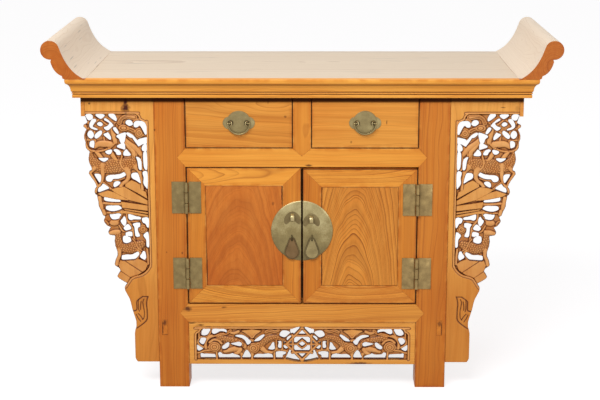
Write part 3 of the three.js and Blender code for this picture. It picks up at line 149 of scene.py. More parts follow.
def wood(name, cad, grain, heart, seed, early, late, lean=(0, 0), ring=5.0, contrast=1.0,
         broad=0.35, sway=4.0, knots=(), marks=(), quirks=(), deepened=None, bleached_and_lit=None,
         carved=False, gaps=None, wax=0.42, patina=0.5):
    """Softwood with growth rings round the log's heart, which lies heart millimetres from the
    middle of the board and leans by two angles, so that a flat board shows arched rings."""
    material, add = finish_of(name)
    place = add("TexCoord").outputs["Object"]
    low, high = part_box(cad)
    centre = (low + high) / 2 + Vector(heart) * MM
    turn = Euler(radians(*GRAIN_TURNS[grain])).to_matrix() @ Euler(radians(*lean, 0)).to_matrix()
    log = add("Mapping", place, centre, turn.to_euler(), vector_type="TEXTURE")
    shifted = add("VectorMath ADD", log, (seed, seed * 0.7, seed * 1.3))

    # The trunk's slow waves, a hand across and a forearm long, push the rings about by sway
    # millimetres
    waves = drawn_out(add, shifted, (14, 14, 5), 2.0).outputs["Color"]
    waves = add("VectorMath SUBTRACT", waves, (0.5, 0.5, 0.5))
    push = 5 * sway * MM
    swayed = add("VectorMath MULTIPLY_ADD", waves, (push, push, 0), log)
    across = add("VectorMath MULTIPLY", swayed, (1, 1, 0))
    count = add("Math DIVIDE", add("VectorMath LENGTH", across), ring * MM)

    # Good and bad years come in runs of about three, so the rings are unevenly wide
    years = add("Math MULTIPLY_ADD", count, 0.33, seed)
    years = add("TexNoise", years, 1.0, noise_dimensions="1D")
    phase = add("Math MULTIPLY_ADD", years, 3.0, count)

    # Rings bend round a knot
    spots = []
    for knot_x, knot_z, size in knots:
        flat = add("VectorMath MULTIPLY", place, (1, 0, 1))
        gap = add("VectorMath DISTANCE", flat, (knot_x * MM, 0, knot_z * MM))
        bend = add("Math POWER", add("MapRange", gap, 0, 5 * size * MM, 1, 0), 2.0)
        phase = add("Math MULTIPLY_ADD", bend, 1.6, phase)
        spots.append((knot_x, knot_z, 1.25 * size, 1.25 * size, 0.9))

    # Each ring darkens slowly to a thin line of latewood, and the lines differ in strength
    number = add("Math FLOOR", phase)
    number = add("TexWhiteNoise", number, noise_dimensions="1D").outputs["Value"]
    strength = add("MapRange", number, 0, 1, 0.3 * contrast, contrast)
    line = add("ValToRGB", add("Math FRACT", phase),
               stops=[(part, (dark, dark, dark, 1)) for part, dark in LATEWOOD])
    line = add("Math MULTIPLY", line, strength)
    run = add("MapRange", years, 0.32, 0.68, 0, broad * contrast)
    tone = add("Mix", line, add("Mix", run, early, late), late)

    # Fibres: fine streaks along the grain, drawn 1.5 mm apart so that they show, and faint
    # bands of them a finger wide
    fibres = drawn_out(add, shifted, (650, 650, 7), 3.0, 0.6)
    streaks = add("ValToRGB", fibres, stops=(
        (0.28, (0.82, 0.72, 0.58, 1)), (0.52, WHITE), (0.8, (1.0, 0.98, 0.92, 1))))
    tone = add("Mix MULTIPLY", 0.5, tone, streaks)
    bands = add("MapRange", drawn_out(add, shifted, (95, 95, 3), 2.0), 0.38, 0.66)
    tone = add("Mix MULTIPLY", bands, tone, (0.93, 0.86, 0.76, 1))

    # Patina: patches as wide as a hand where the wax has gone redder
    aged = add("MapRange", drawn_out(add, shifted, (9, 9, 5), 3.0), 0.42, 0.70, 0, patina)
    tone = add("Mix MULTIPLY", aged, tone, (0.86, 0.68, 0.50, 1))

    # Edges: the arris is rubbed pale, and old wax darkens the wood beside the joints
    rough = add("TexNoise", place, 45.0, 3.0)
    if not carved:
        edge = edge_distance(add, place, low, high)
        rubbed = add("MapRange", edge, 0, 0.0022, 0.5, 0)
        rubbed = add("Math MULTIPLY", rubbed, add("MapRange", rough, 0.42, 0.66))
        tone = add("Mix", rubbed, tone, "F2BE70")
        grime = add("MapRange", edge, 0.001, 0.010, 0.5, 0)
        grime = add("Math MULTIPLY", grime, add("MapRange", rough, 0.64, 0.42))
        tone = add("Mix MULTIPLY", grime, tone, (0.70, 0.45, 0.25, 1))

    # Knots and dark marks: their middle, half width and half height, and strength
    ragged = drawn_out(add, place, (160, 160, 160), 2.0) if marks else None
    for mark_x, mark_z, wide, tall, strength in (*spots, *marks):
        offset = add("VectorMath SUBTRACT", place, (mark_x * MM, 0, mark_z * MM))
        offset = add("VectorMath MULTIPLY", offset, (1 / (wide * MM), 0, 1 / (tall * MM)))
        gap = add("VectorMath LENGTH", offset)
        if ragged:
            gap = add("Math SUBTRACT", add("Math MULTIPLY_ADD", ragged, 0.9, gap), 0.45)
        tone = add("Mix", add("MapRange", gap, 0.35, 1.0, strength, 0), tone, "4A1A08")
    z = add("SeparateXYZ", place).outputs[2]
    shine = SHINE
    if deepened:
        # The wood is darker and redder towards the floor
        high_end, low_end, most = deepened
        down = add("MapRange", z, high_end * MM, low_end * MM, 0, most)
        tone = add("Mix MULTIPLY", down, tone, (0.74, 0.56, 0.40, 1))
    if UNDER_TOP * MM < high.z < TOP_ZONE:
        # Painted shadow under the top: near-black and less shiny, but not on a drawer's upper edge
        shaded = add("MapRange", z, (UNDER_TOP - 4.5) * MM, UNDER_TOP * MM, 0, 0.96)
        up = add("SeparateXYZ", add("NewGeometry").outputs["Normal"]).outputs[2]
        shaded = add("Math MULTIPLY", shaded, add("MapRange", up, 0.3, 0.8, 1, 0))
        tone = add("Mix", shaded, tone, "2C0A00")
        shine = add("MapRange", shaded, 0, 1, SHINE, 0.02)
    # Painted shade: dark lines along the quirks of the moulding
    for quirk, half, strength in quirks:
        gap = add("Math ABSOLUTE", add("Math SUBTRACT", z, quirk * MM))
        dark = add("MapRange", gap, half * 0.4 * MM, half * MM, strength, 0)
        tone = add("Mix", dark, tone, "6A2C06")
    if gaps:
        # Painted shade: the edges that stand in a door's or drawer's gaps are painted near-black
        edge = edge_distance(add, place, *gaps)
        tone = add("Mix", add("MapRange", edge, 0.0008, 0.0022, 0.9, 0), tone, "2E1204")
    # Upward faces paler: bleached wood together with painted light
    if bleached_and_lit:
        tone = bleach_and_painted_light(add, tone, place, shifted, fibres, line, *bleached_and_lit)
    if carved:
        tone = stained(add, tone, rough)

    height = add("Math MULTIPLY_ADD", line, -0.5, fibres)
    gloss = add("Math MULTIPLY_ADD", fibres, 0.22, wax - 0.1)
    bump = add("Bump", named={"Height": height, "Strength": 0.25, "Distance": 0.0003})
    add("OutputMaterial", add("BsdfPrincipled", named={
        "Base Color": tone, "Roughness": gloss, "Normal": bump, "IOR": 1.5,
        "Specular IOR Level": shine, "Coat Weight": 0.03, "Coat Roughness": 0.3}))
    return material


def bleach_and_painted_light(add, tone, place, shifted, fibres, line, light, dark):
    """Faces that look up are paler, partly bleached wood and partly painted light, with a few open
    cracks, but for the strip along the top's front edge, which keeps its wax."""
    softness = add("MapRange", fibres, 0.35, 0.7)
    pale = add("Mix", softness, add("Mix", line, light, dark), light)
    cracks = add("MapRange", drawn_out(add, shifted, (210, 210, 7), 1.0), 0.66, 0.72, 0, 0.55)
    regions = add("MapRange", drawn_out(add, shifted, (14, 14, 5), 1.0), 0.56, 0.62)
    pale = add("Mix", add("Math MULTIPLY", cracks, regions), pale, "8E8272")
    up = add("SeparateXYZ", add("NewGeometry").outputs["Normal"]).outputs[2]
    x, y, z = add("SeparateXYZ", place).outputs
    upward = add("MapRange", up, 0, 0.2)
    upward = add("Math MULTIPLY", upward, add("MapRange", z, TOP - 0.0025, TOP - 0.001))
    behind = add("Math MULTIPLY_ADD", add("Math SUBTRACT", z, TOP), RIM_LEAN, y)
    upward = add("Math MULTIPLY", upward, add("MapRange", behind, *WAX_ENDS))
    return add("Mix", upward, tone, pale)


def stained(add, tone, rough):
    """Worked parts are darker and redder than the plain board. The cuts hold dark stain, painted
    shade darkens the hollows and the openings' walls, and the forms' crests get a painted
    highlight.
    """
    worked = add("Attribute", attribute_name="worked").outputs["Fac"]
    stain_and_shade = add("Attribute", attribute_name="stain_and_shade").outputs["Fac"]
    rubbed = add("Mix", add("MapRange", rough, 0.35, 0.68), "C26E30", "E49E60")
    # Painted highlight on the crests of the forms, away from their dark edges
    rubbed = add("Mix", add("MapRange", stain_and_shade, 0, 0.3, 0.4, 0), rubbed, "F2C084")
    tone = add("Mix", worked, tone, add("Mix", 0.3, rubbed, tone))
    depth = add("Math MULTIPLY_ADD", rough, 0.3, stain_and_shade)
    return add("Mix", add("MapRange", depth, 0.2, 1.0), tone, "54200A")


# Woods of the cabinet, by board. Softwood is straw when cut and goes honey under wax

RAIL = {"early": "F8AA44", "late": "A05018"}
STILE = {"early": "DE8C32", "late": "984A18"}
LEG = {"early": "DE8A32", "late": "984A1A", "deepened": (420, 60, 0.3)}
DRAWER = {"early": "EDA346", "late": "A86020"}
END = {"early": "F0A850", "late": "C07A30"}
PLAIN = {"early": "DDBE90", "late": "BE9662", "wax": 0.62, "patina": 0.15}
CARVED = {"early": "F2AC52", "late": "C07A30", "contrast": 0.5, "patina": 0.25}
FLANGE = {"early": "CC762E", "late": "A0521A"}
MOULDED = {"early": "FCB24C", "late": "B0601C", "contrast": 0.5}
# Pale tones of upward faces: bleached wood together with painted light
PALE = ("E8D2B6", "BE9C7A")
PALER = ("F2DCC2", "D6B694")

# Each board's grain, heart, lean, ring, sway, contrast and seed, and what else it is given
BOARDS = {
    "front_leg_left": ("z", (-90, 120, 0), (0.5, 0.3), 3.2, 2, 0.7, 1.3, dict(
        LEG, knots=((-354, 653, 2.4),),
        marks=((-293, 347, 2.6, 3.4, 0.8), (-331, 349, 2, 3, 0.5)))),
    "front_leg_right": ("z", (60, 140, 0), (-0.5, 0.3), 3.4, 2, 0.7, 2.1, LEG),
    "back_leg_left": ("z", (-70, -90, 0), (0, 0), 4.5, 4, 0.5, 3.2, LEG),
    "back_leg_right": ("z", (50, -110, 0), (0, 0), 4.1, 4, 0.5, 4.7, LEG),
    "side_rail_left": ("y", (60, 0, 40), (0, 0), 4, 4, 0.5, 5.5, dict(LEG, marks=(
        (-340, 168, 7, 10, 0.8), (-345, 152, 2, 26, 0.85), (-338, 136, 7, 3, 0.75)))),
    "side_rail_right": ("y", (-60, 0, 50), (0, 0), 4, 4, 0.5, 6.1, dict(LEG, marks=(
        (340, 166, 7, 9, 0.65), (345, 152, 2, 26, 0.75)))),
    "side_panel_left": ("z", (90, 20, 0), (0.4, 7), 2.6, 4, 0.7, 7.9, STILE),
    "side_panel_right": ("z", (-90, -30, 0), (0.4, -7), 2.6, 4, 0.7, 8.4, STILE),
    "back_panel": ("z", (40, -80, 0), (4, 0.5), 3, 4, 0.7, 9.1, PLAIN),
    "cupboard_floor": ("x", (0, 40, 70), (0, 0), 4, 4, 1, 10.2, PLAIN),
    "drawer_shelf": ("x", (0, -40, 60), (0, 0), 4, 4, 1, 11.3, PLAIN),
    "top_panel": ("x", (0, 30, -60), (0.8, 1.6), 4, 4, 1.2, 12.9, dict(RAIL, bleached_and_lit=PALE)),
    "mid_rail_front": ("x", (0, 120, -60), (0.3, 0.5), 3, 2, 0.4, 13.5, dict(
        RAIL, marks=((16, 566.5, 11, 3.2, 0.85),))),
    "bottom_rail_front": ("x", (0, 30, 84), (0.6, -2.8), 4, 4, 1, 14.6, dict(
        early="F4A848", late="A0501A", marks=((-282, 204, 12, 8, 0.9), (-193, 208, 8, 3, 0.7)))),
    "drawer_divider": ("z", (30, 80, 0), (0, 0), 3, 2, 0.4, 15.2, dict(
        early="EC9E3E", late="AA5C1C")),
    "end_board_left": ("y", (20, 0, 60), (0, 0), 5, 4, 0.4, 16.8, END),
    "end_board_right": ("y", (20, 0, -60), (0, 0), 5, 4, 0.4, 17.8, END),
    "drawer_left_front": ("x", (60, 80, 62), (0.6, 3.4), 3.6, 4, 0.7, 18.3, dict(
        DRAWER, broad=0.5, marks=((-40, 686, 4.4, 3.6, 0.6), (-81, 722, 2, 7, 0.6)))),
    "drawer_right_front": ("x", (-40, 110, -90), (0.5, 1.2), 3.4, 3, 0.45, 19.4, dict(
        DRAWER, marks=((203, 672, 2, 8, 0.7), (118, 624, 3, 4, 0.5)))),
    "door_left_hinge_stile": ("z", (-60, 90, 0), (0.8, 0.4), 3, 2, 0.5, 20.1, STILE),
    "door_left_meeting_stile": ("z", (50, 90, 0), (0.4, 0.6), 3, 2, 0.6, 21.2, STILE),
    "door_left_top_rail": ("x", (0, 30, 12), (-2, -2.4), 2.8, 2.5, 0.65, 22.3, dict(
        RAIL, broad=0.1)),
    "door_left_bottom_rail": ("x", (10, 2, 36), (12, 0.6), 2.9, 2.5, 1.15, 23.4, RAIL),
    "door_left_panel": ("z", (-18, 106, 0), (-12, 2.5), 3, 5, 0.55, 24.6, dict(
        early="DC8434", late="A4541C", broad=0.6, deepened=(560, 250, 0.42), patina=0.7,
        marks=((-70, 472, 4.4, 5.6, 0.5), (-48.6, 494, 2, 36, 0.97),
               (-232.6, 308, 2, 56, 0.97)))),
    "door_right_hinge_stile": ("z", (60, 90, 0), (0.6, -0.5), 3, 2, 0.5, 25.7, STILE),
    "door_right_meeting_stile": ("z", (-50, 90, 0), (0.7, 0.3), 3, 2, 0.6, 26.8, STILE),
    "door_right_top_rail": ("x", (10, 6, 30), (-6.5, 0.8), 2.9, 3, 0.8, 27.9, RAIL),
    "door_right_bottom_rail": ("x", (-16, 0, 34), (15, -0.6), 2.6, 2.5, 1.1, 28.1, dict(
        early="F4A646", late="9C4C18")),
    "door_right_panel": ("z", (-14, 84, 0), (-8.5, 2.4), 2.1, 2.5, 1.35, 29.2, dict(
        early="E8993E", late="84400E", broad=0.2, patina=0.3,
        marks=((48.4, 430, 1.5, 170, 0.8), (48.4, 300, 2.1, 54, 0.97)))),
}
BOX_BOARDS = {"inner_side": ("y", (60, 0, 30), 31), "outer_side": ("y", (60, 0, -30), 32),
              "back": ("x", (0, 70, 40), 33), "bottom": ("y", (20, 0, 60), 34)}
for side in SIDES:
    for part, (grain, heart, seed) in BOX_BOARDS.items():
        BOARDS[f"drawer_{side}_{part}"] = (grain, heart, (0, 0), 5, 4, 1, seed, PLAIN)


def box_of(boards):
    """The box round several boards."""
    lows, highs = zip(*map(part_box, boards))
    return Vector(map(min, zip(*lows))), Vector(map(max, zip(*highs)))


for board, (grain, heart, lean, ring, sway, contrast, seed, look) in BOARDS.items():
    piece = NODES[board]
    piece.data.materials.clear()
    gaps = None
    if board.startswith("door"):
        leaf = board[: board.index("_", 5)]
        gaps = box_of([other for other in BOARDS if other.startswith(leaf)])
    elif board in ("drawer_left_front", "drawer_right_front"):
        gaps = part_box(board)
    finish = wood(f"{board}_waxed_softwood", board, grain, heart, seed, lean=lean, ring=ring,
                  sway=sway, contrast=contrast, gaps=gaps, **look)
    piece.data.materials.append(finish)
    weld = piece.modifiers.new("weld", "WELD")
    weld.merge_threshold = 0.02 * MM
    arris = piece.modifiers.new("arris", "BEVEL")
    arris.width = 0.6 * MM  # the rubbed corner of a planed board
    arris.segments = 2
    arris.limit_method = "ANGLE"
    arris.angle_limit = SHARP

# Brass: cast and beaten, dull green-brown where it is untouched and bright where it is handled


def brass(name, bare, dull, deep, scale, spread=0.3, fade=None, polish=0.0):
    """A wider spread makes the mottling calmer. fade gives two heights, in millimetres, between
    which the brass goes from deep to bare, a painted light that is brighter towards the top."""
    material, add = finish_of(name)
    place = add("TexCoord").outputs["Object"]
    broad = add("Math MULTIPLY", add("TexNoise", place, 30.0 * scale, 4.0, 0.55), 0.72)
    mottle = add("Math MULTIPLY_ADD", add("TexNoise", place, 380.0 * scale, 3.0), 0.28, broad)
    # Painted light: brighter towards the top and darker below
    if fade:
        height = add("SeparateXYZ", place).outputs[2]
        share = add("MapRange", height, fade[0] * MM, fade[1] * MM, -0.22, 0.26)
        mottle = add("Math ADD", mottle, share)
    tone = add("ValToRGB", mottle, stops=(
        (0.5 - spread, colour(deep)), (0.5, colour(dull)), (0.5 + spread, colour(bare))))
    gloss = add("MapRange", mottle, 0.25, 0.7, 0.52 - polish, 0.36 - polish)
    bump = add("Bump", named={"Height": mottle, "Strength": 0.2, "Distance": 0.0004})
    add("OutputMaterial", add("BsdfPrincipled", named={
        "Base Color": tone, "Metallic": 0.8, "Roughness": gloss, "Normal": bump}))
    return material


# The lock plate's mottling is painted lighter towards its top, as light from above
LOCK_BRASS = brass("aged_and_top_lit_brass_lock_plate", "CFC190", "8A7A50", "54472D", 1.0, 0.5, (335, 480))
HINGE_BRASSES = (brass("aged_brass_hinge", "AC9866", "837048", "54452A", 2.2, 0.5),
                 brass("warm_brass_hinge", "BEA168", "8E774C", "564526", 2.2, 0.42))
MOUNT_BRASS = brass("dull_brass_hasp_mount", "94845A", "746442", "4E422A", 1.6, 0.4)
# Tarnished brass, which also paints the shade round the drop's outline, in its groove and in its
# eye
DARK_BRASS = brass("tarnished_brass_and_painted_shade", "5E5032", "42371F", "241B10", 1.6)
RED_BRASS = brass("reddened_brass_pull", "8C7050", "715838", "4C3A24", 1.4, 0.4)
PULL_BRASS = brass("handled_brass_pull", "BAAA78", "8C7C54", "54462C", 1.6, 0.5)
BRIGHT_BRASS = brass("rubbed_brass", "D8CAA0", "AA9A6E", "74663F", 1.5, polish=0.05)

# Modelling


def picked(*pieces):
    """Selects pieces and nothing else, with the first one active."""
    if bpy.context.object and bpy.context.object.mode != "OBJECT":
        bpy.ops.object.mode_set(mode="OBJECT")
    bpy.ops.object.select_all(action="DESELECT")
    for piece in reversed(pieces):
        piece.select_set(True)
        bpy.context.view_layer.objects.active = piece


def opened():
    """Opens the active piece for shaping, with all of it selected."""
    bpy.ops.object.mode_set(mode="EDIT")
    bpy.ops.mesh.select_all(action="SELECT")


def shaped():
    """Turns the faces of the shaped piece outwards, closes it and gives it back."""
    bpy.ops.mesh.select_all(action="SELECT")
    bpy.ops.mesh.normals_make_consistent(inside=False)
    bpy.ops.object.mode_set(mode="OBJECT")
    return bpy.context.object


def applied(*pieces):
    """The pieces as one object, with its place in its mesh."""
    picked(*pieces)
    if len(pieces) > 1:
        bpy.ops.object.join()
    bpy.ops.object.transform_apply(location=True, rotation=True, scale=True)
    return pieces[0]


def settle(piece, name, material, body, covers=()):
    """Names a finished piece, hangs it on its body, and says which CAD pieces it covers."""
    applied(piece)
    bpy.ops.object.shade_smooth_by_angle(angle=math.radians(35))
    piece.name = piece.data.name = name
    piece.data.materials.clear()
    piece.data.materials.append(material)
    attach(piece, body)
    if covers:
        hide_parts(*covers)


def modifier(piece, kind, **settings):
    """Adds a modifier and applies it."""
    picked(piece)
    made = piece.modifiers.new(kind.lower(), kind)
    for key, value in settings.items():
        setattr(made, key, value)
    bpy.ops.object.modifier_apply(modifier=made.name)
    return piece


# Carving. A panel is drawn in millimetres, |x| across and z up, for the right-hand half of the
# cabinet. Its face is worked out on a square grid as a height before the board's face

PITCH = 1.3  # between the points of the carved surface
GROUND = -4.6  # of the wood between the forms
LINE = 1.5  # how far the dark line reaches in from a form's edge
CARVING_Y = -204 * MM
BOARD_BACK_Y = -184 * MM
OPENWORK_BACK_Y = -193 * MM  # the back is cut away behind the openwork
WIDENED = 0.1  # each opening is cut this much wider than it is drawn
LOWERED = 1.5  # and this much lower, because the eye looks down on its lower wall
BEAD = 4.6
FLECK, FLECK_ROW = 6.0, 4.9  # between the flecks of a deer's coat
CURL = 4.8  # between the cuts of a curled form

# A form rises over its swell, from an edge that lies a share of the swell lower. A facet's
# swell and fall are fixed, and it leans forward as it goes up
BAND_SWELL, BAND_FALL = (1.5, 7.5), 0.62
OVAL_SWELL, OVAL_FALL = 9, 0.45
FACET_SWELL, FACET_FALL, FACET_LINE, FACET_TILT = 1.5, 1.1, 0.6 * LINE, 0.055

# The bead's edge and its rise, the width, place and depth of the grooves beside it, the depth
# of a drawn cut, and how far in and how deep the wood's edges are rounded
BEAD_LEVEL, BEAD_RISE = -1.0, 0.9
GROOVE, GROOVE_OFF, GROOVE_DEEP, CUT_DEEP = 0.9, 0.6, 1.2, 1.4
RIM, OPENWORK_FALL, BOARD_FALL = 2.4, 2.6, 0.7
OUTSIDE, INSIDE = -0.6 * PITCH, 0.4 * PITCH  # grid points between these are drawn onto an edge


def run_of(text):
    """Points written as in x,z x,z or, with a half width or an oval's two radii, x,z,n and
    x,z,n,n. A last number may be left out where it stays as it was."""
    points = [[float(number) for number in point.split(",")] for point in text.split()]
    for before, point in zip(points, points[1:]):
        point += before[len(point):]
    return points


def runs_of(text):
    return [run_of(part) for part in text.split(";")]


def forms_of(text):
    """Forms written as a level, a detail if there is one, a colon and the points."""
    forms = []
    for part in text.split(";"):
        head, points = part.split(":")
        level, *detail = head.split()
        forms.append((float(level), detail, run_of(points)))
    return forms


def curve(points, steps=5, closed=False):
    """A smooth run through points of two or three numbers."""
    given = np.array(points, float)
    if len(given) < 3:
        return given
    if closed:
        padded = np.concatenate([given[-1:], given, given[:2]])
    else:
        padded = np.concatenate([given[:1], given, given[-1:]])
    t = np.linspace(0, 1, steps, endpoint=False)[:, None]
    made = [
        0.5 * (2 * b + (c - a) * t + (2 * a - 5 * b + 4 * c - d) * t**2
               + (3 * b - a - 3 * c + d) * t**3)
        for a, b, c, d in zip(padded, padded[1:], padded[2:], padded[3:])
    ]
    return np.concatenate(made if closed else made + [given[-1:]])


def nearest_on_line(x, z, start, end):
    """Distance from a straight line's stretch, and the share of it that is passed there."""
    dx, dz = end[0] - start[0], end[1] - start[1]
    share = ((x - start[0]) * dx + (z - start[1]) * dz) / max(dx * dx + dz * dz, 1e-9)
    share = np.clip(share, 0, 1)
    return np.hypot(x - start[0] - share * dx, z - start[1] - share * dz), share


def off_run(x, z, points):
    """Distance from a smooth run through points."""
    run = curve(points)
    return reduce(np.minimum, (nearest_on_line(x, z, start, end)[0]
                               for start, end in zip(run, run[1:])))


def polygon_depth(x, z, points):
    """Millimetres inside a closed outline, or less than nothing outside it."""
    nearest = np.full(x.shape, 1e9)
    inside = np.zeros(x.shape, bool)
    for start, end in zip(points, np.roll(points, -1, 0)):
        nearest = np.minimum(nearest, nearest_on_line(x, z, start, end)[0])
        rise = end[1] - start[1]
        if abs(rise) > 1e-9:
            crosses = (start[1] > z) != (end[1] > z)
            inside ^= crosses & (x < start[0] + (z - start[1]) * (end[0] - start[0]) / rise)
    return np.where(inside, nearest, -nearest)


def band_depth(x, z, points):
    """Millimetres inside a band of changing half width, and that half width."""
    depth = np.full(x.shape, -1e9)
    width = np.zeros(x.shape)
    run = curve(points)
    for start, end in zip(run, run[1:]):
        distance, share = nearest_on_line(x, z, start, end)
        radius = start[2] + (end[2] - start[2]) * share
        width = np.where(radius - distance > depth, radius, width)
        depth = np.maximum(depth, radius - distance)
    return depth, width


def flecks(x, z):
    """0 in the middle of a hair fleck of a deer's coat and 1 between flecks."""
    x, z = (x + 1.5 * np.sin(0.31 * z + 1.1 * np.sin(0.13 * x)),
            z + 1.6 * np.sin(0.19 * x + 0.9 * np.sin(0.23 * z)))
    row = np.round(z / FLECK_ROW)
    half = FLECK / 2
    across = (x - np.where(row % 2 == 0, 0, half) + half) % FLECK - half
    return np.clip(np.hypot(across, z - row * FLECK_ROW) / half, 0, 1)


def form_relief(x, z, level, detail, points):
    """How far inside a form each point lies, its height there, and its dark marks. A form of
    three numbers a point is a band, one of four numbers is an oval, and one of two is a facet."""
    reach = LINE
    if len(points[0]) == 3:
        depth, width = band_depth(x, z, points)
        swell = np.clip(width, *BAND_SWELL)
        drop = BAND_FALL * swell
    elif len(points[0]) == 4:
        middle_x, middle_z, across, up = points[0]
        depth = (1 - np.hypot((x - middle_x) / across, (z - middle_z) / up)) * min(across, up)
        swell = min(across, up, OVAL_SWELL)
        drop = OVAL_FALL * swell
    else:
        depth = polygon_depth(x, z, np.array(points))
        swell, drop, reach = FACET_SWELL, FACET_FALL, FACET_LINE
        level = level + FACET_TILT * (z - np.mean(points, 0)[1])
    rise = np.clip(depth / swell, 0, 1)
    height = level - drop * (1 - np.sqrt(1 - (1 - rise) ** 2))
    marks = np.exp(-((depth / reach) ** 2))
    if "coat" in detail:
        coat = flecks(x, z)
        height = height - 1.2 * coat**2
        marks = np.maximum(marks, 0.7 * coat**2.2)
    elif "curls" in detail:
        curl = 0.5 + 0.5 * np.cos(2 * np.pi * np.clip(depth, 0, 99) / CURL)
        cut = np.where(depth > 2, curl**3, 0)
        height = height - cut
        marks = np.maximum(marks, 0.8 * cut)
    return depth, height, marks


def part_of(x, z, points):
    """The part of the grid round a form, with room for its width."""
    table = np.array(points, float)
    room = 3 + (table[:, 2:].max() if table.shape[1] > 2 else 0)
    low, high = table[:, :2].min(0) - room, table[:, :2].max(0) + room
    columns = np.flatnonzero((x[:, 0] >= low[0]) & (x[:, 0] <= high[0]))
    rows = np.flatnonzero((z[0] >= low[1]) & (z[0] <= high[1]))
    if len(columns) and len(rows):
        return slice(columns[0], columns[-1] + 1), slice(rows[0], rows[-1] + 1)


def blurred(values, times):
    for _ in range(times):
        padded = np.pad(values, 1, mode="edge")
        values = (padded[:-2, 1:-1] + padded[2:, 1:-1] + padded[1:-1, :-2] + padded[1:-1, 2:]
                  + 4 * values) / 8
    return values


def carve(outline, opening, holes, bars, forms, bead, grooves, middle=False):
    """A panel's grid, how far inside the wood each point lies, the height of its face, its
    dark stain and painted shade, and whether it was worked. The field inside the opening is
    carved, and the rest is plain board. Bars are forms that cross holes. middle says that x starts
    at a mirror line."""
    outline = np.array(outline)
    low, high = outline.min(0), outline.max(0)
    first = 0 if middle else low[0] - 1.6 * PITCH
    x, z = np.meshgrid(np.arange(first, high[0] + 2 * PITCH, PITCH),
                       np.arange(low[1] - 1.6 * PITCH, high[1] + 2 * PITCH, PITCH), indexing="ij")
    wood_depth = polygon_depth(x, z, outline)
    bare = polygon_depth(x, z, np.array(opening)) < 0
    for points in holes:
        smooth = curve(points, closed=True)
        part = part_of(x, z, smooth)
        if part:
            hole = np.maximum(polygon_depth(x[part], z[part], smooth),
                              polygon_depth(x[part], z[part] + LOWERED, smooth))
            wood_depth[part] = np.minimum(wood_depth[part], -hole - WIDENED)
    height = np.full(x.shape, GROUND)
    stain_and_shade = np.full(x.shape, 0.3)
    worked = np.ones(x.shape)
    for form in forms + bars:
        points = form[2]
        part = part_of(x, z, points)
        if not part:
            continue
        depth, top, marks = form_relief(x[part], z[part], *form)
        if form in bars:
            wood_depth[part] = np.maximum(wood_depth[part], depth)
        shows = (depth > 0) & (top > height[part])
        for field, value in ((height, top), (stain_and_shade, marks),
                             (worked, 0.96 if len(points[0]) > 2 else 0.5)):
            field[part] = np.where(shows, value, field[part])
    thin = ~bare
    for field in (height, stain_and_shade, worked):
        field[bare] = 0.0

    # The bead round the opening stands between two dark grooves
    off = off_run(x, z, bead)
    on_bead = off < BEAD / 2
    arch = np.sqrt(1 - np.clip(off / (BEAD / 2), 0, 1) ** 2)
    thin &= ~on_bead
    groove = np.exp(-(((off - BEAD / 2 - GROOVE_OFF) / GROOVE) ** 2))
    height = np.where(on_bead, BEAD_LEVEL + BEAD_RISE * arch, height) - GROOVE_DEEP * groove
    stain_and_shade = np.maximum(np.where(on_bead, 0.0, stain_and_shade), 0.85 * groove)
    worked = np.maximum(np.where(on_bead, 0.75, worked), np.clip(groove, 0, 0.9))

    for width, points in grooves:
        cut = np.exp(-((off_run(x, z, points) / width) ** 2))
        height = height - CUT_DEEP * cut
        stain_and_shade = np.maximum(stain_and_shade, cut)
    # Painted shade: the hollows, where the face lies below its surroundings, are darkened
    hollow = np.clip((blurred(height, 9) - height) / 1.8, 0, 1)
    stain_and_shade = np.maximum(stain_and_shade, hollow * np.maximum(worked, 0.35))
    rim = np.clip(wood_depth / RIM, 0, 1)
    fall = np.where(thin, OPENWORK_FALL, BOARD_FALL)
    height = height - (1 - np.sqrt(1 - (1 - rim) ** 2)) * fall
    # Painted shade along the edges of the openings, and a little along the board's edge
    edge = np.exp(-((np.clip(wood_depth, 0, 99) / 1.3) ** 2))
    stain_and_shade = np.maximum(stain_and_shade, edge * np.where(thin, 0.85, 0.25))
    back = np.where(thin, OPENWORK_BACK_Y, BOARD_BACK_Y)
    return x, z, wood_depth, height, stain_and_shade, worked, back


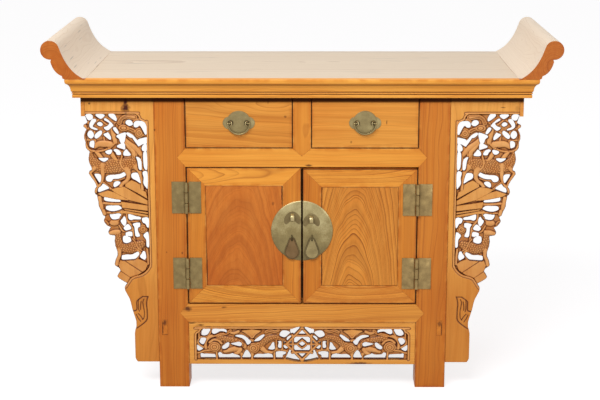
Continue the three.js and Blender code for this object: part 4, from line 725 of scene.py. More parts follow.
def carved_board(name, carving, side, bounds, both=False):
    """A carved board as a closed mesh: its worked face, walls round its edges and openings, and
    a flat back. Grid points beside an edge are drawn onto it."""
    x, z, depth, height, *layers = carving
    slope_x, slope_z = np.gradient(depth, PITCH)
    near = (depth > OUTSIDE) & (depth < INSIDE)
    shift = np.where(near, depth / np.maximum(slope_x**2 + slope_z**2, 0.3), 0)
    (low_x, low_z), (high_x, high_z) = bounds
    px = np.clip(x - np.clip(shift * slope_x, -PITCH, PITCH), low_x, high_x)
    pz = np.clip(z - np.clip(shift * slope_z, -PITCH, PITCH), low_z, high_z)
    if both:
        px[0] = 0
    kept = depth > OUTSIDE
    number = np.full(x.shape, -1)
    number[kept] = np.arange(kept.sum())
    y = CARVING_Y - np.minimum(height, 0) * MM
    points = np.stack([side * px[kept] * MM, y[kept], pz[kept] * MM], 1)
    corners = np.stack([number[:-1, :-1], number[1:, :-1], number[1:, 1:], number[:-1, 1:]], -1)
    corners = corners.reshape(-1, 4)
    held = (corners >= 0).sum(1)
    faces = [tuple(c) for c in corners[held == 4]]
    faces += [tuple(n for n in c if n >= 0) for c in corners[held == 3]]
    layers = [values[kept] for values in layers]
    if both:
        faces += [tuple(n + len(points) for n in reversed(face)) for face in faces]
        points = np.concatenate([points, points * (-1, 1, 1)])
        layers = [np.concatenate([values, values]) for values in layers]

    data = bpy.data.meshes.new(name)
    data.from_pydata([tuple(p) for p in points], [], faces)
    for label, values in zip(("stain_and_shade", "worked", "back"), layers):
        attribute = data.attributes.new(label, "FLOAT", "POINT")
        attribute.data.foreach_set("value", values.astype(np.float32))
    shape = bmesh.new()
    shape.from_mesh(data)
    bmesh.ops.remove_doubles(shape, verts=shape.verts, dist=0.03 * MM)
    bmesh.ops.dissolve_degenerate(shape, edges=shape.edges, dist=0.02 * MM)
    bmesh.ops.delete(shape, geom=[v for v in shape.verts if not v.link_faces], context="VERTS")
    for vert in list(shape.verts):
        rim_edges = [edge for edge in vert.link_edges if edge.is_boundary]
        if len(rim_edges) > 2:
            bmesh.utils.vert_separate(vert, rim_edges)
    rim = shape.verts.layers.float.new("rim")
    for vert in shape.verts:
        vert[rim] = vert.is_boundary
    stain_and_shade, back = (shape.verts.layers.float[label] for label in ("stain_and_shade", "back"))
    # The walls are painted dark, as the shade inside the openings, and the back only a little
    made = bmesh.ops.extrude_face_region(shape, geom=list(shape.faces), use_keep_orig=True)
    for vert in made["geom"]:
        if isinstance(vert, bmesh.types.BMVert):
            vert.co.y = vert[back]
            vert[stain_and_shade] = 0.9 if vert[rim] else 0.12
    bmesh.ops.recalc_face_normals(shape, faces=list(shape.faces))
    shape.to_mesh(data)
    shape.free()
    board = bpy.data.objects.new(name, data)
    scene.collection.objects.link(board)
    return board


BRACKET_OUTLINE = run_of("""
  355.3,733.2 520.2,733.2 520.2,691 519.8,686 520.4,684 517,676 515,671 519,667 525,664 525,659
    520,656 518,653 521,648 524,640 524,630 521,622 522,614 521,607 517,602 512,599 514,590
    515.5,580 514,570 510,562 508,555 510,552 515,550 516,544 512,538 505,528 500,519 498,512
    502,507 504,498 502,492 498,490 497,482 495,475 495,463 491,455 488,447 485,440 480,436 484,427
    481,421 474,413 467,409 470,406 474,398 470,390 457,388 459,375 457.5,362 453,350 453,338
    458,327 460.5,316 457,311 450,306 446,300 452,291 455,285 450,279 440,273 430.5,267.5 433,263
    437,258 436,250 431,240 426,230 423,220 421,210 419,200 416,190 413,180 410.5,170 410.5,160
    411,155 413,150 415,140 415,75 413,70 409.5,65 355.3,65
""")
BRACKET_BEAD = run_of("""
  530,693.5 402,693.5 397,692 392,688 389,683 388,679 385,677 380,674.5 375,671 372.5,666 371.5,660
    371.5,500 371.5,330 373,312 378,302 386,294 394,289 402,286.5 412,283.5 420,279 424,273 428,267
    431,262 436,256
""")
BRACKET_OPENING = BRACKET_BEAD + [[560, 240], [560, 693.5]]
BRACKET_HOLES = runs_of("""
  519,689 504,689 503,680 514,676;
  496,689 474,689 480,681 486,680;
  464,690 451,690 445,679 448,674 462,684;
  511,666 503,678 494,676 500,668 503,660 495,656 491,652 501,653 510,658;
  493,666 486,671 479,666 485,661;
  476,677 470,679 453,664 457,660 468,651 477,657 468,661 463,668 470,673;
  455,655 448,658 441,645 446,643;
  517,640 514,647 509,650 504,647 501,640 504,634 509,631 514,634;
  497,631 500,637 492,646 484,650 481,645 489,635;
  478,641 474,636 463,628 460,633 466,645 470,644;
  512,612 511,622 501,625 502,609;
  447,637 428,645 424,642 428,623 437,620 441,630;
  423,643 418,645 405,637 412,633 420,638;
  424,671 418,676 410,674 406,667 414,662 422,666;
  405,665 400,673 390,674 378,670 374,660 374,643 378,641 380,645 386,657 391,663 396,659 403,659;
  409,633 405,636 396,626 393,629 377,633 374,633 374,621 385,617 394,612 397,615;
  387,604 385,612 379,618 375,618 375,601 383,600;
  447,611 436,618 428,620 427,605 435,606;
  455,602 448,605 440,601 437,592 447,591 450,597;
  475,598 466,603 458,603 462,594 470,593;
  431,596 424,604 420,600 414,590 430,589;
  492,582 480,574 470,579 468,582 480,583;
  401,584 399,586 389,578 388,556 395,556 398,575;
  384,590 382,597 375,596 375,556 382,558 384,575;
  503,541 500,543 488,541 487,530 491,522 497,530;
  476,531 470,539 452,541 440,543 431,547 427,542 432,537 445,532 458,531 463,525 472,525;
  458,516 454,523 447,525 441,522 447,515 456,511;
  414,540 410,545 400,546 395,540 391,524 393,521 402,527 412,533;
  386,547 375,548 375,509 379,510 385,520 384,533;
  482,519 476,516 468,509 476,505 492,499 496,501 493,509 487,513;
  481,484 481,478 470,475 444,474 443,478 456,480 478,485;
  478,459 477,455 466,451 452,452 440,457 441,460 447,464 462,464 475,463;
  469,441 466,433 460,430 447,432 445,437 441,442 448,444 463,442;
  443,425 437,415 433,414 429,423 430,432 434,437 438,431;
  424,441 423,431 417,428 411,430 395,430 394,435 404,437 420,442;
  390,432 375,433 375,410 379,411 383,419 389,422;
  413,418 397,421 396,412 401,409 401,400 397,388 407,387 409,398 410,410;
  436,408 427,417 421,414 418,406 430,402 434,404;
  432,391 429,397 420,399 416,398 416,388 428,388;
  439,378 438,385 433,388 421,384 419,375 429,370 437,372;
  388,388 384,394 376,396 375,362 381,362 382,378;
  443,333 441,338 430,340 418,340 408,345 401,348 400,341 409,331 420,329 441,328;
  398,335 392,345 390,349 385,347 383,335 386,328 389,328
""")

# Stems and lattice lie low, leaves and clouds higher, and deer highest
BRACKET_FORMS = forms_of("""
  -2.2: 502,692,3.2 450,650;
  -2.8: 470,692,3.2 446,672;
  -2.8: 470,692,3.2 518,652;
  -2.4: 500,692,3.2 519,675;
  -2.2: 518,672,3.2 478,638;
  -2.8: 446,672,3.2 484,640;
  -2.6: 515,689,3.2 512,671;
  -1.4: 521,662,5 518,655,3.5 523,640 521,626 519,614,3.8 512,603,3.6 495,600 478,602,3.5 462,609
    452,618;
  -2.6: 499,657,3.4 498,628 498,615;
  -2.6: 478,641,3.4 476,630 475,621;
  -2.6: 521,628,3.4 497,626;
  -1.8: 381,640,3.6 372,638;
  -1.8: 447,605,3.2 433,598;
  -1.8: 372,620,3.2 381,618 392,612;
  -1.8: 372,600,3.2 388,600;
  -1.6: 390,612,3.2 387,595,3.4 386,575 386,556,3.6 373,552;
  -1.6: 388,548,3.2 386,530 380,512 373,505;
  -1.6: 462,528,3.2 446,528 430,534;
  -1.4: 484,524,4 474,516 463,506;
  -1.6: 482,471,4.2 460,469 439,469;
  -1.6: 474,447,3.4 455,447 436,452;
  -1.6: 436,449,3.2 441,438 448,428,3.4 452,422;
  -1.6: 446,415,3.2 436,400 420,402 410,404;
  -1.4: 427,447,3.2 426,428,3.4 414,413,3.6 412,398 409,378,3.4;
  -1.6: 424,426,3.4 405,425,3.2 394,428 389,418;
  -1.4: 380,362,4 378,340 377,318
""")
# Blossom, leaves and clouds
BRACKET_FORMS += forms_of("""
  -0.8: 452,664,4 455,652,6.5 452,636,7 449,622,6.5;
  -0.6 curls: 402,683,8.6 420,685,6.6 432,680,6 438,669,6.5;
  -0.9: 385,681,4.5 393,676,5 404,671,4.5 410,665,3.5;
  -0.5 curls: 405,650,6 410,653,5.5 416,655,5;
  -0.2: 426,632,4 418,622,6 405,611,7.6 396,603,7 389,592,6;
  -0.4: 426,622,4 417,611,6.2 408,601,6.4 404,592,5.6;
  -0.6 curls: 404,597,9 404,586,7.5;
  -0.5: 492,484,6.5 490,470,6.4;
  -0.3: 488,465,6.4 487,458,5.6;
  -0.6: 483,452,5.4 481,444,5.8;
  -0.3 curls: 428,657,15,9.5;
  -0.2 curls: 391,645,12.5,13.5;
  -0.5: 458,422,13.5,9;
  -0.4 curls: 479,424,5.5 475,419;
  -0.6 curls: 388,406,12,12
""")
# The upper deer: head, neck, body and legs
BRACKET_FORMS += forms_of("""
  0: 499,611,6 488,618,8.6 474,618,9.6 462,617,9;
  -0.4: 478,618,3 473,614 466,612;
  0 coat: 509,600,6 511,590,8 507,578,11 499,568,15;
  0 coat: 497,566,15 472,563,19 436,565,18.5 412,569,15;
  -0.3: 500,560,7 510,550,5.6 512,545,4.6 503,530,4 496,514,3.8 500,504,4;
  -0.2: 482,566,9 482,545,6 483,532,5 488,520,4.4 500,500,4.6;
  -0.2: 424,556,10 419,540,7 424,528,5.4 434,520 443,507,4.6;
  -0.4: 402,562,9 393,549,5.6 390,534,4.4 388,518,4 387,506,5;
  0: 431,600,3.4 434,588,3.6 438,572 434,560,3.4 422,550;
  -0.2: 497,598,4 489,590,6.4 481,580,5.4 474,576,3;
  -0.2: 465,607,4 459,594,6.6 452,583,5.6 446,578,3
""")
# The lower deer looks back over its shoulder
BRACKET_FORMS += forms_of("""
  0: 468,396,5.6 458,398,7.6 448,399,7;
  0 coat: 450,392,8.4 449,380,9 447,368,11;
  0 coat: 444,362,12.5 425,358,15 405,362,14 393,368,10.6;
  -0.2: 448,354,7 447,340,5.2 452,328,5.4 455,316,5.6;
  -0.4: 402,352,5 395,344,3.6 402,334,3.4 412,326,5;
  0: 414,382,3 407,372 402,360 392,352
""")
# Rock in slanting layers
BRACKET_FORMS += forms_of("""
  -1: 428,520 413,530 392,520 390,506 378,500 374,480 400,496 430,513;
  -0.8: 465,506 448,511 430,513 374,478 374,466 420,478 455,498;
  -0.6: 498,495 470,504 455,499 420,480 422,477 450,480 485,487;
  -0.9: 441,476 374,466 374,451 438,459;
  -1.1: 438,459 374,449 374,443 430,453;
  -1.3: 430,453 374,442 374,435 425,444 470,447;
  -1: 446,328 436,327 392,296 408,285 422,282 447,301 451,315;
  -1.4: 436,327 400,331 386,325 377,318 384,302 392,296;
  -1.2: 447,301 422,283 425,272 431,267 452,281 456,288
""")
# A leaf cut into the foot of the bracket: the width of each cut, and its run
BRACKET_GROOVES = [(width, points) for width, _, points in forms_of("""
  1.3: 380,234 393,234;
  1.5: 393,234 400,229 405,225 408,220 408,203 411,198 418,197;
  1.5: 380,234 382,228 384,215 383,200 383,180 385,173 390,167 400,159 410,152;
  1.1: 404,226 404,203 402,196;
  1.1: 390,228 393,220 392,210 390,195 391,180 395,174;
  1.1: 397,222 399,211 399,200;
  1.1: 410,188 406,179 400,170;
  1.1: 405,190 399,183 394,175
""")]
APRON_OUTLINE = run_of("""
  -280.7,59.2 280.7,59.2 280.7,169.7 -280.7,169.7
""")
APRON_BEAD = run_of("""
  -10,152.6 246,152.6 250,151 254,147 256,143 260,141 263.5,137 264.5,130 264.5,100 264.5,71
""")
APRON_OPENING = run_of("""
  -10,152.6 246,152.6 256,143 264.5,136 264.5,71 -10,71
""")
APRON_HOLES = runs_of("""
  -8,72 37,72 36,84 31,95 30,104 33,112 38,120 36,128 28,134 27,150 -8,150;
  30,140 37,144 50,144 56,134 50,129 42,128 33,136;
  34,102 41,98 46,104 46,115 43,116 36,108;
  52,101 57,100 60,103 58,113 60,116 52,116;
  68,98 74,95 82,96 84,98 78,106 74,113 70,114 69,106;
  42,90 63,90 65,80 63,74 50,74 48,81 42,84;
  73,76 76,83 85,86 95,83 112,83 119,78 117,74 76,74;
  128,80 134,91 138,94 142,90 146,82 149,76 145,74 130,75;
  155,76 163,82 173,85 183,82 198,83 203,88 209,85 207,76 203,73 158,73;
  216,74 217,82 225,83 245,84 252,85 253,80 249,73 220,72;
  93,133 97,134 105,130 119,119 117,117 108,118 102,122;
  127,117 134,124 146,132 158,133 168,131 160,128 148,124 141,117 137,109 132,109;
  150,110 153,115 160,116 172,112 177,111 175,109 165,106 154,104;
  181,112 186,113 193,108 199,102 198,97 192,97 184,102;
  187,142 190,147 203,150 220,150 224,140 219,136 211,139 204,143 193,142 189,140;
  229,149 242,150 248,145 252,137 246,132 236,134 230,143;
  239,125 250,126 256,118 252,111 246,109 241,117;
  247,98 253,103 261,107 262,98 258,92 252,94
""")
# A plain lozenge laced through a square in the middle of the apron
APRON_BARS = forms_of("""
  -1.2: -6,158,3.8 39,110;
  -1.2: 39,110,3.8 -6,63;
  -1.8: -8,132,3.4 23,132 23,131 23,90 23,89 -8,89;
  -1.6: -1,122,3 11,110 -1,99;
  -1.6: 11,110,3 44,110
""")
APRON_FORMS = forms_of("""
  -1.8: 224,152,3 228,140,3.4 238,129 252,128 258,119 257,110 245,102,3.6 230,102,4;
  -1.8: 256,140,3 256,128;
  -2: 213,90,3.6 212,70,3.4;
  -2: 170,92,4 150,84,5 151,70,4;
  -2: 266,86,3.4 252,89 243,93 230,94,4;
  -2: 124,90,7 124,80,4.4 124,70;
  -1.8: 64,126,4 48,120,3.4 38,116 31,106,3.2;
  -1.8: 36,92,3.4 56,95,4.2 78,90,4;
  -2: 64,122,3 64,97;
  -2: 49,120,2.8 49,96;
  -2: 39,92,3 39,82 43,70;
  -2: 69,88,3.6 69,70;
  -1.2 curls: 58,147,4.4 68,143,5 80,146 90,142;
  -0.8 curls: 178,146,5 188,138,4.4 200,136,4.6 212,133,4.4;
  -1.2: 158,143,5 168,139 176,140,4.4
""")
# A cloth tied in a bow, with two tails
APRON_FORMS += forms_of("""
  -0.8: 100,147 124,150 152,147 137,134 125,126 113,134;
  -0.4: 104,145,3 116,137,3.4 124,128 134,138 148,145,3
""")
# Two beasts that face each other: curled heads, bodies and legs
APRON_FORMS += forms_of("""
  0 coat: 206,128,8.6 192,124,9 172,121,8 156,116,7.4 144,106,6.6 140,98,5;
  -0.2: 160,100,8 176,96,7.4 192,92,6;
  -0.2: 154,96,7 160,88,6 168,86,4;
  -0.4: 239,100,4.6 240,116,5 230,129,5.4 214,134,4.6;
  0 curls: 218,103,16.5,14.5;
  -0.4: 200,112,4 208,120 220,122 230,115;
  0 coat: 104,104,8.6 95,116,9 80,126,8.6 62,128,7 46,122,5.4;
  -0.2: 98,98,8 88,90,6 76,89,5;
  -0.4: 142,104,5 136,118,4.6 126,121,4.4 110,114,5;
  0 curls: 121,100,16.5,14.5;
  -0.4: 50,98,5 62,100 68,94,4.4
""")

BRACKET = carve(BRACKET_OUTLINE, BRACKET_OPENING, BRACKET_HOLES, [], BRACKET_FORMS, BRACKET_BEAD,
                BRACKET_GROOVES)
APRON = carve(APRON_OUTLINE, APRON_OPENING, APRON_HOLES, APRON_BARS, APRON_FORMS, APRON_BEAD, (),
              middle=True)
BRACKET_CORNERS = ((355.3, 65), (525, 733.2))
APRON_CORNERS = ((0, 59.2), (280.7, 169.7))
BRACKET_MARKS = {
    "left": ((-422, 705.5, 12, 13.5, 1.0), (-421.5, 721, 6.5, 12, 1.0),
             (-422, 692, 4.4, 10, 1.0), (-509, 717, 3.6, 3.6, 0.8)),
    "right": ((480, 708, 7, 2, 0.7), (515, 705, 8, 9, 0.25)),
}
APRON_MARKS = ((142, 61, 34, 5, 0.85), (-272, 166, 12, 2, 0.9), (-252, 161, 13, 2.4, 0.9),
               (-232, 156, 13, 2, 0.8))
for side, sign in SIDES.items():
    board = carved_board(f"carved_bracket_{side}", BRACKET, sign, BRACKET_CORNERS)
    finish = wood(f"carved_{side}_softwood", f"bracket_{side}", "z", (-40 * sign, 90, 0),
                  40.0 + sign, ring=5.5, lean=(1.5, 1.0), marks=BRACKET_MARKS[side],
                  deepened=(400, 230, 0.75), carved=True, **CARVED)
    settle(board, board.name, finish, "carcass", [f"bracket_{side}"])
board = carved_board("carved_apron", APRON, 1, APRON_CORNERS, both=True)
finish = wood("carved_apron_softwood", "apron", "x", (0, 60, 40), 44, lean=(0.8, 1.2),
              marks=APRON_MARKS, carved=True, **CARVED)
settle(board, "carved_apron", finish, "carcass", ["apron"])

# The top: moulded boards mitred at their corners, and end pieces that rise into scrolls

EDGE_Y = 237 * MM
HALF_TOP = 561 * MM
UNDERSIDE = 733.5 * MM
END_RUN = 49 * MM
INNER = HALF_TOP - END_RUN
GAP = 0.3 * MM
OVER = 1 * MM  # how far a cutting tool reaches past what it cuts
TONGUE_DEPTH = 9.3 * MM
TONGUE_LOW, TONGUE_HIGH = 764.2 * MM, 773.8 * MM
BOARD_WIDTHS = {"front": (-1, 112 * MM), "back": (1, 88 * MM)}
# Height, half width and strength of each painted shade line in the moulding's quirks
QUIRKS = ((766.3, 1.7, 0.7), (747.5, 1.8, 0.7), (742.4, 1.4, 0.9))
SCROLL_X, SCROLL_Z, SCROLL_RADIUS = 31.5, 69.5, 22.4
# Inset and rise over the underside, from the top edge down
MOULDING = run_of("""
  1.2,46.5 0.35,46.2 0,45.4 0,41.5 0.4,39 1.6,36.6 3.4,34.9 5.6,33.7 6.6,33 7.6,31.8 8.9,30
    10.1,27.8 11.1,25.2 11.8,22.4 12.2,20 12.5,17.8 13.3,15.9 14.7,14.5 15.6,13.9 15.7,13.3 14.6,13
    14.1,12.2 14.1,11 14.9,10 16.8,9.6 16.9,8.7 15.8,8.4 15.1,7.6 15,6.6 15,1.6 15.5,0.5 16.4,0
""")


def sheet_bar(name, section, place, start, end):
    """A bar with a drawn section: a filled circle takes the section's points and is extruded.
    place gives the point for a distance along the bar and a point of the section."""
    picked()
    bpy.ops.mesh.primitive_circle_add(vertices=len(section), fill_type="NGON")
    bar = bpy.context.object
    bar.name = name
    for vertex, point in zip(bar.data.vertices, section):
        vertex.co = place(start, *point)
    opened()
    step = Vector(place(end, 0, 0)) - Vector(place(start, 0, 0))
    bpy.ops.mesh.extrude_region_move(TRANSFORM_OT_translate={"value": step})
    return shaped()


def joined(piece, tool, operation):
    """Cuts a piece with a tool, or adds the tool to it, and throws the tool away."""
    modifier(piece, "BOOLEAN", operation=operation, solver="EXACT", object=tool)
    bpy.data.objects.remove(tool)
    return piece


def upright(plan, high):
    return sheet_bar("tool", plan, lambda z, x, y: (x, y, z), UNDERSIDE - OVER, high)


for label, (sign, width) in BOARD_WIDTHS.items():
    section = [(u * MM, UNDERSIDE + v * MM) for u, v in reversed(MOULDING)] + [
        (width, TOP), (width, TONGUE_HIGH), (width - TONGUE_DEPTH, TONGUE_HIGH),
        (width - TONGUE_DEPTH, TONGUE_LOW), (width, TONGUE_LOW), (width, UNDERSIDE)]
    bar = sheet_bar(f"top_{label}_moulded_board", section,
                    lambda x, u, z: (x, sign * (EDGE_Y - u), z), -HALF_TOP, HALF_TOP)
    corner = HALF_TOP - GAP
    neck, neck_y = corner - END_RUN, sign * (EDGE_Y - END_RUN)
    inner_y, over_y = sign * (EDGE_Y - width - OVER), sign * (EDGE_Y + OVER)
    plan = [(-corner - OVER, over_y), (corner + OVER, over_y), (neck, neck_y), (neck, inner_y),
            (-neck, inner_y), (-neck, neck_y)]
    joined(bar, upright(plan, TOP + OVER), "INTERSECT")
    finish = wood(f"top_{label}_board_softwood", f"top_{label}_board", "x",
                  (30, sign * -50, -40), 50.0 + sign, ring=6.0, lean=(0.5, 0.6), bleached_and_lit=PALE,
                  quirks=QUIRKS, **MOULDED)
    settle(bar, bar.name, finish, "carcass", [f"top_{label}_board"])


def bent(start, first, second, end, steps):
    """Points of a curve with two handles."""
    a, b, c, d = (np.array(p, float) for p in (start, first, second, end))
    t = np.linspace(0, 1, steps)[:, None]
    run = a * (1 - t) ** 3 + 3 * b * t * (1 - t) ** 2 + 3 * c * t**2 * (1 - t) + d * t**3
    return [tuple(p) for p in run]


def end_section():
    """The end piece's section, drawn in millimetres past the board's edge and over the top. Its
    inner face sweeps up into a scroll, which curls over and down to a notch, a swell and a
    small step."""
    scroll = [(SCROLL_X + SCROLL_RADIUS * math.cos(t), SCROLL_Z + SCROLL_RADIUS * math.sin(t))
              for t in np.linspace(0.905 * math.pi, -0.53 * math.pi, 30)]
    notch, swell, foot, step = (31, 42), (25, 16), (5, 8), (4, 2.5)
    handles = [tuple(a + (b - a) * 2 / 3 for a, b in zip(end, swell)) for end in (notch, foot)]
    run = bent((-49, 0), (-20, 14), (-3, 36), scroll[0], 14)[:-1] + scroll
    run += bent(notch, *handles, foot, 10) + [step]
    groove = INNER + TONGUE_DEPTH
    return [(HALF_TOP + x * MM, TOP + z * MM) for x, z in run] + [
        (HALF_TOP - u * MM, UNDERSIDE + v * MM) for u, v in MOULDING] + [
        (INNER, UNDERSIDE), (INNER, TONGUE_LOW), (groove, TONGUE_LOW), (groove, TONGUE_HIGH),
        (INNER, TONGUE_HIGH)]


for side, sign in SIDES.items():
    bar = sheet_bar(f"top_end_scroll_{side}", end_section(), lambda y, x, z: (sign * x, y, z),
                    -EDGE_Y, EDGE_Y)
    for fore in (-1, 1):
        plan = [(sign * (HALF_TOP + OVER), fore * (EDGE_Y + OVER)),
                (sign * (INNER - OVER), fore * (EDGE_Y - END_RUN - OVER)),
                (sign * (INNER - OVER), fore * (EDGE_Y + OVER))]
        joined(bar, upright(plan, TOP + GAP), "DIFFERENCE")
    finish = wood(f"end_{side}_softwood", f"top_end_{side}", "y", (sign * 30, 0, 10),
                  55.0 + sign, ring=3.4, lean=(0.6, 0.4), bleached_and_lit=PALER, quirks=QUIRKS, **FLANGE)
    settle(bar, bar.name, finish, "carcass", [f"top_end_{side}"])

# Brass fittings. Each is modelled on the right-hand side, in millimetres, and copied to both


def drawn(points, y0, y1):
    """A flat piece drawn from the front and given its thickness between two depths."""
    section = [(x * MM, z * MM) for x, z in points]
    return sheet_bar("drawn", section, lambda y, x, z: (x, y, z), y0 * MM, y1 * MM)


def turned(steps, sides=32):
    """A turned piece round its z axis: every step is a radius and a height."""
    picked()
    (radius, height), *rest = steps
    bpy.ops.mesh.primitive_circle_add(vertices=sides, radius=radius * MM, fill_type="NGON")
    opened()
    bpy.ops.transform.translate(value=(0, 0, height * MM))
    for wide, high in rest:
        rise = (0, 0, (high - height) * MM)
        bpy.ops.mesh.extrude_region_move(TRANSFORM_OT_translate={"value": rise})
        bpy.ops.transform.resize(value=(wide / radius, wide / radius, 1),
                                 center_override=(0, 0, high * MM))
        radius, height = wide, high
    return shaped()


def ring(radius, wire, steps=32):
    picked()
    bpy.ops.mesh.primitive_torus_add(major_radius=radius * MM, minor_radius=wire * MM,
                                     major_segments=steps, minor_segments=12)
    return bpy.context.object


def trimmed(piece, point, away):
    """Cuts off what lies beyond a plane, in the direction away, and closes the cut."""
    applied(piece)
    opened()
    bpy.ops.mesh.bisect(plane_co=[c * MM for c in point], plane_no=away, use_fill=True,
                        clear_outer=True)
    bpy.ops.object.mode_set(mode="OBJECT")


def stood(piece, place, turn=(0, 0, 0)):
    piece.location = [c * MM for c in place]
    piece.rotation_euler = radians(*turn)
    return piece


def eased(piece, width):
    """Rounds the sharp edges of a casting or a cut plate."""
    return modifier(piece, "BEVEL", width=width * MM, segments=2, limit_method="ANGLE",
                    angle_limit=SHARP)


def fit(piece, name, finishes, body, covers=None, x=0, heights=(0, 0)):
    """Copies a fitting to both sides, mirrored on the left, and throws the first away. The name,
    the body and the CAD piece that it covers take the side. Finishes are one brass, or a pair."""
    applied(piece)
    for (side, sign), height, finish in zip(
            SIDES.items(), heights, finishes if isinstance(finishes, tuple) else (finishes,) * 2):
        twin = piece.copy()
        twin.data = piece.data.copy()
        scene.collection.objects.link(twin)
        twin.location = (sign * x * MM, 0, height * MM)
        if sign < 0:
            twin.scale = (-1, 1, 1)
            picked(twin)
            bpy.ops.object.transform_apply(location=False, rotation=False, scale=True)
            opened()
            shaped()
        settle(twin, name.format(side), finish, body.format(side),
               [covers.format(side)] if covers else ())
    bpy.data.objects.remove(piece)


FACE_Y = -207  # of the legs, rails, doors and drawers

# Hinges: a plate on the leg and one on the door, with three knuckles between them. side is 1
# for the leaf on the leg, which holds the upper and lower knuckles and the pin
HINGE_X, HINGE_Y = 280, -212.3
HINGE_HALF, KNUCKLE = 39.5, 26.3
# From the pin to a leaf at its own knuckles and at the other leaf's, and to its far edge
LEAF_NEAR, LEAF_CLEAR, LEAF_FAR = 0.5, 5.4, 35.5
LEAF_FRONT, LEAF_BACK = FACE_Y - 2, FACE_Y - 0.3
HINGE_HEIGHTS = {"lower": (296, 296), "upper": (487, 481.5)}
BARREL = [(3.8, -12.7), (4.7, -11.9), (4.7, 11.9), (3.8, 12.7)]
PIN_HEAD = [(2.6, 38), (3.2, 38.4), (3.0, 39.1), (1.6, 39.5)]


def hinge_leaf(side):
    near, clear, far = side * LEAF_NEAR, side * LEAF_CLEAR, side * LEAF_FAR
    outer, inner = (near, clear) if side > 0 else (clear, near)
    band = KNUCKLE / 2 + side * 0.3
    plate = drawn([(far, -HINGE_HALF), (outer, -HINGE_HALF), (outer, -band), (inner, -band),
                   (inner, band), (outer, band), (outer, HINGE_HALF), (far, HINGE_HALF)],
                  LEAF_FRONT, LEAF_BACK)
    parts = [eased(plate, 0.5)]
    for rise in (-KNUCKLE, KNUCKLE) if side > 0 else (0,):
        parts.append(stood(turned(BARREL, 24), (0, HINGE_Y, rise)))
    if side > 0:
        parts += [stood(turned(PIN_HEAD, 20), (0, HINGE_Y, 0), (over, 0, 0)) for over in (0, 180)]
        parts.append(stood(turned([(1.9, -14), (1.9, 14)], 16), (0, HINGE_Y, 0)))
    return applied(*parts)


for level, heights in HINGE_HEIGHTS.items():
    for carrier, side, body in (("leg", 1, "carcass"), ("door", -1, "door_{}")):
        name = f"hinge_{{}}_{level}_{carrier}_"
        fit(hinge_leaf(side), name + "plate", HINGE_BRASSES, body, name + "leaf", HINGE_X, heights)

# The lock plate: half a shallow dome on each door. On it are a winged mount with the hasp that
# takes a padlock, and a staple that the drop pull swings on
LOCK_HEIGHT, LOCK_RADIUS = 404, 75
MEETING_EDGE = 2.4
HASP_X, HASP_HEIGHTS = 23, (438, 433)
MOUNT_FRONT, SEAT_Y = -210.9, -208.4  # the mount and the staple end at this depth in the dome
HASP_Y, HASP_REACH, HASP_TALL, HASP_HALF = -209, 14, 10, 4.5
HASP_ROOT_Y, HASP_ROOT = -208.6, 9.6
BORE_Y, BORE = -216.5, 3.6
STAPLE_X, STAPLE_Y, STAPLE_HEIGHT = 24.4, -211.5, 387
BOSS_Y, BOSS_HEIGHT = -209, 381.5
DOME = [(LOCK_RADIUS, 0), (LOCK_RADIUS, 0.8), (74.2, 1.4), (71, 1.8), (58, 2.2), (40, 2.45),
        (20, 2.6)]
WING = run_of("""
  0,-10.2 4,-9.6 8,-11.8 12,-15.6 16.5,-17 19.8,-13.5 20.4,-6 18.4,1 14.2,7 9,11.6 4,14.2 0,14.8
""")

dome = stood(turned(DOME, 96), (0, FACE_Y - 0.3, LOCK_HEIGHT), (QUARTER, 0, 0))
trimmed(dome, (MEETING_EDGE, 0, 0), (-1, 0, 0))
fit(dome, "lock_dome_{}", LOCK_BRASS, "door_{}", "door_{}_lock_plate")

outline = curve(WING + [(-x, z) for x, z in reversed(WING[1:-1])], 3, closed=True)
mount = eased(drawn(outline, MOUNT_FRONT, SEAT_Y), 0.5)
fit(mount, "hasp_mount_{}", MOUNT_BRASS, "door_{}", None, HASP_X, HASP_HEIGHTS)

bow = [(HASP_ROOT_Y, -HASP_ROOT)]
bow += [(HASP_Y - HASP_REACH * math.cos(t) ** 0.7, HASP_TALL * math.sin(t))
        for t in np.linspace(-1.45, 1.45, 15)] + [(HASP_ROOT_Y, HASP_ROOT)]
hasp = sheet_bar("drawn", [(y * MM, z * MM) for y, z in bow], lambda x, y, z: (x, y, z),
                 -HASP_HALF * MM, HASP_HALF * MM)
bore = stood(turned([(BORE, -6), (BORE, 6)], 24), (0, BORE_Y, 0), (0, QUARTER, 0))
hasp = eased(joined(hasp, bore, "DIFFERENCE"), 0.7)
fit(hasp, "hasp_{}", BRIGHT_BRASS, "door_{}", None, HASP_X, HASP_HEIGHTS)

staple = stood(ring(5.8, 1.1), (STAPLE_X, STAPLE_Y, STAPLE_HEIGHT), (0, QUARTER, 0))
trimmed(staple, (0, SEAT_Y, 0), (0, 1, 0))
# The boss's dark shows through the drop's eye as painted shade in the hole
boss = stood(turned([(4.8, 0), (4.6, 0.5), (3.8, 0.7)], 24), (STAPLE_X, BOSS_Y, BOSS_HEIGHT),
             (QUARTER, 0, 0))
fit(applied(staple, boss), "drop_staple_{}", DARK_BRASS, "door_{}")

# A drop is round below and narrower above, where it has its eye. A rim and a face stand on its
# dark plate, with a groove between them; the plate's dark is tarnish and painted shade, along its
# outline and in the groove
EYE_HEIGHT, EYE_HOLE = 381.2, 2.4
NECK_HEIGHT, NECK = 379, 8.5
BELLY_HEIGHT, BELLY = 351, 18


def teardrop(inset, back, front):
    """A plate with the outline of a drop, or of what lies inset from its edge."""
    belly, neck = BELLY - inset, NECK - inset
    lean = math.asin((belly - neck) / (NECK_HEIGHT - BELLY_HEIGHT))
    run = [(belly * math.cos(t), BELLY_HEIGHT + belly * math.sin(t))
           for t in np.linspace(math.pi - lean, 2 * math.pi + lean, 33)]
    run += [(neck * math.cos(t), NECK_HEIGHT + neck * math.sin(t))
            for t in np.linspace(lean, math.pi - lean, 11)]
    return drawn(run, STAPLE_Y - front, STAPLE_Y + back)


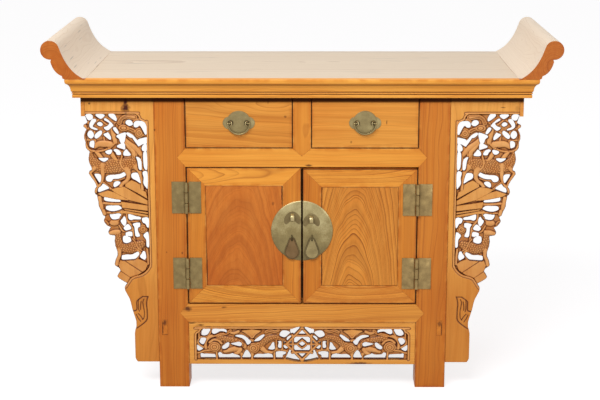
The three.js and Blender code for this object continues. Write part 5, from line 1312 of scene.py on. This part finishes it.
def bored(piece):
    hole = stood(turned([(EYE_HOLE, -5), (EYE_HOLE, 5)], 20), (0, STAPLE_Y, EYE_HEIGHT),
                 (QUARTER, 0, 0))
    return joined(piece, hole, "DIFFERENCE")


drop = joined(eased(bored(teardrop(0, 1.2, 1.2)), 0.4), teardrop(0.6, -0.5, 1.3), "DIFFERENCE")
rim = joined(teardrop(0.7, -0.5, 1.2), teardrop(2.1, -0.4, 1.3), "DIFFERENCE")
face = eased(bored(teardrop(3.1, -0.5, 1.1)), 0.15)
fit(drop, "drop_{}", DARK_BRASS, "drop_{}", "door_{}_drop_pull", STAPLE_X)
fit(rim, "drop_rim_{}", (RED_BRASS, MOUNT_BRASS), "drop_{}", None, STAPLE_X)
fit(face, "drop_face_{}", (RED_BRASS, PULL_BRASS), "drop_{}", None, STAPLE_X)

# Drawer pulls: a large round over two small ones, two eyes and a bail that hangs in them
PULL_PLACE = (151.25, (670.75, 670.75))
ROUND, LOBE, LOBE_X = 29.5, 15, 23.5
EYE_X, EYE_Y = 19.5, -214.5
BAIL_RADIUS, STUB = 26, 11.1  # the bail's straight ends reach inwards
LOOP_TURN = 48

plate = drawn([(LOBE_X * x + LOBE * math.cos(t), LOBE * math.sin(t))
               for x, first in ((1, -0.5), (-1, 0.5))
               for t in np.linspace(first * math.pi, (first + 1) * math.pi, 24)],
              FACE_Y - 1.3, FACE_Y - 0.2)
disc = turned([(ROUND, 0), (ROUND, 1.4), (ROUND - 0.7, 2.0), (ROUND - 3, 2.2)], 72)
plate = applied(eased(plate, 0.4), stood(disc, (0, FACE_Y - 0.1, 0), (QUARTER, 0, 0)))
eyes, loops, bail = [], [], [stood(ring(BAIL_RADIUS, 1.5, 64), (0, EYE_Y, 0), (QUARTER, 0, 0))]
trimmed(bail[0], (0, 0, 0), (0, 0, 1))
for sign in (-1, 1):
    x = sign * EYE_X
    for steps, sides in (([(6.6, 0), (6.4, 0.5), (4.8, 0.9), (2.4, 1.1)], 24),
                         ([(1.6, 0), (1.4, 3.6)], 16)):
        eyes.append(stood(turned(steps, sides), (x, FACE_Y - 2.2, 0), (QUARTER, 0, 0)))
    loops.append(stood(ring(4.7, 1.2, 24), (x, EYE_Y, 0), (QUARTER, 0, sign * LOOP_TURN)))
    stub = turned([(1.5, 0), (1.5, STUB)], 16)
    bail.append(stood(stub, (sign * (BAIL_RADIUS - STUB), EYE_Y, 0), (0, sign * QUARTER, 0)))
    knob = turned([(0.8, -2.5), (1.9, -1.7), (2.5, 0), (1.9, 1.7), (0.8, 2.5)], 16)
    bail.append(stood(knob, (sign * BAIL_RADIUS, EYE_Y, 0)))
fit(plate, "pull_plate_{}", PULL_BRASS, "drawer_{}", "drawer_{}_pull_plate", *PULL_PLACE)
fit(applied(*eyes), "pull_eyes_{}", DARK_BRASS, "drawer_{}", None, *PULL_PLACE)
fit(applied(*loops), "pull_loops_{}", BRIGHT_BRASS, "drawer_{}", None, *PULL_PLACE)
fit(applied(*bail), "bail_{}_handle", PULL_BRASS, "bail_{}", "drawer_{}_bail", *PULL_PLACE)

# Floor and light


def seen_direct(add):
    """1 for a ray from the camera, or one that a glossy or clear surface passes on."""
    path = add("LightPath").outputs
    seen = add("Math MAXIMUM", path["Is Camera Ray"], path["Is Glossy Ray"])
    return add("Math MAXIMUM", seen, path["Is Transmission Ray"])


picked()
bpy.ops.mesh.primitive_grid_add(x_subdivisions=2, y_subdivisions=2, size=60)
floor = bpy.context.object
floor.name = "floor"
# A studio floor that the eye sees as near-white paper, and that takes soft shadows
material, add = finish_of("pale_floor")
glow = add("Emission", (0.745, 0.74, 0.745, 1), seen_direct(add))
add("OutputMaterial", add("AddShader", add("BsdfDiffuse", (0.45, 0.45, 0.45, 1)), glow))
floor.data.materials.append(material)

world = bpy.data.worlds.new("studio")
world.use_nodes = True
world.node_tree.nodes.clear()
add = partial(node, world.node_tree)
strength = add("MapRange", seen_direct(add), 0, 1, 0.5, 1.0)
add("OutputWorld", add("Background", WHITE, strength))
scene.world = world


def lamp(name, place, aim, size, power):
    data = bpy.data.lights.new(name, "AREA")
    data.shape = "RECTANGLE"
    data.size, data.size_y = size
    data.energy = power
    light = bpy.data.objects.new(name, data)
    scene.collection.objects.link(light)
    light.location = place
    light.rotation_euler = (Vector(aim) - Vector(place)).to_track_quat("-Z", "Y").to_euler()


lamp("key", (-0.9, -2.4, 2.9), (0, 0, 0.6), (2.2, 1.2), 77)
lamp("fill", (2.0, -3.2, 0.8), (0, 0, 0.5), (1.6, 1.2), 17)
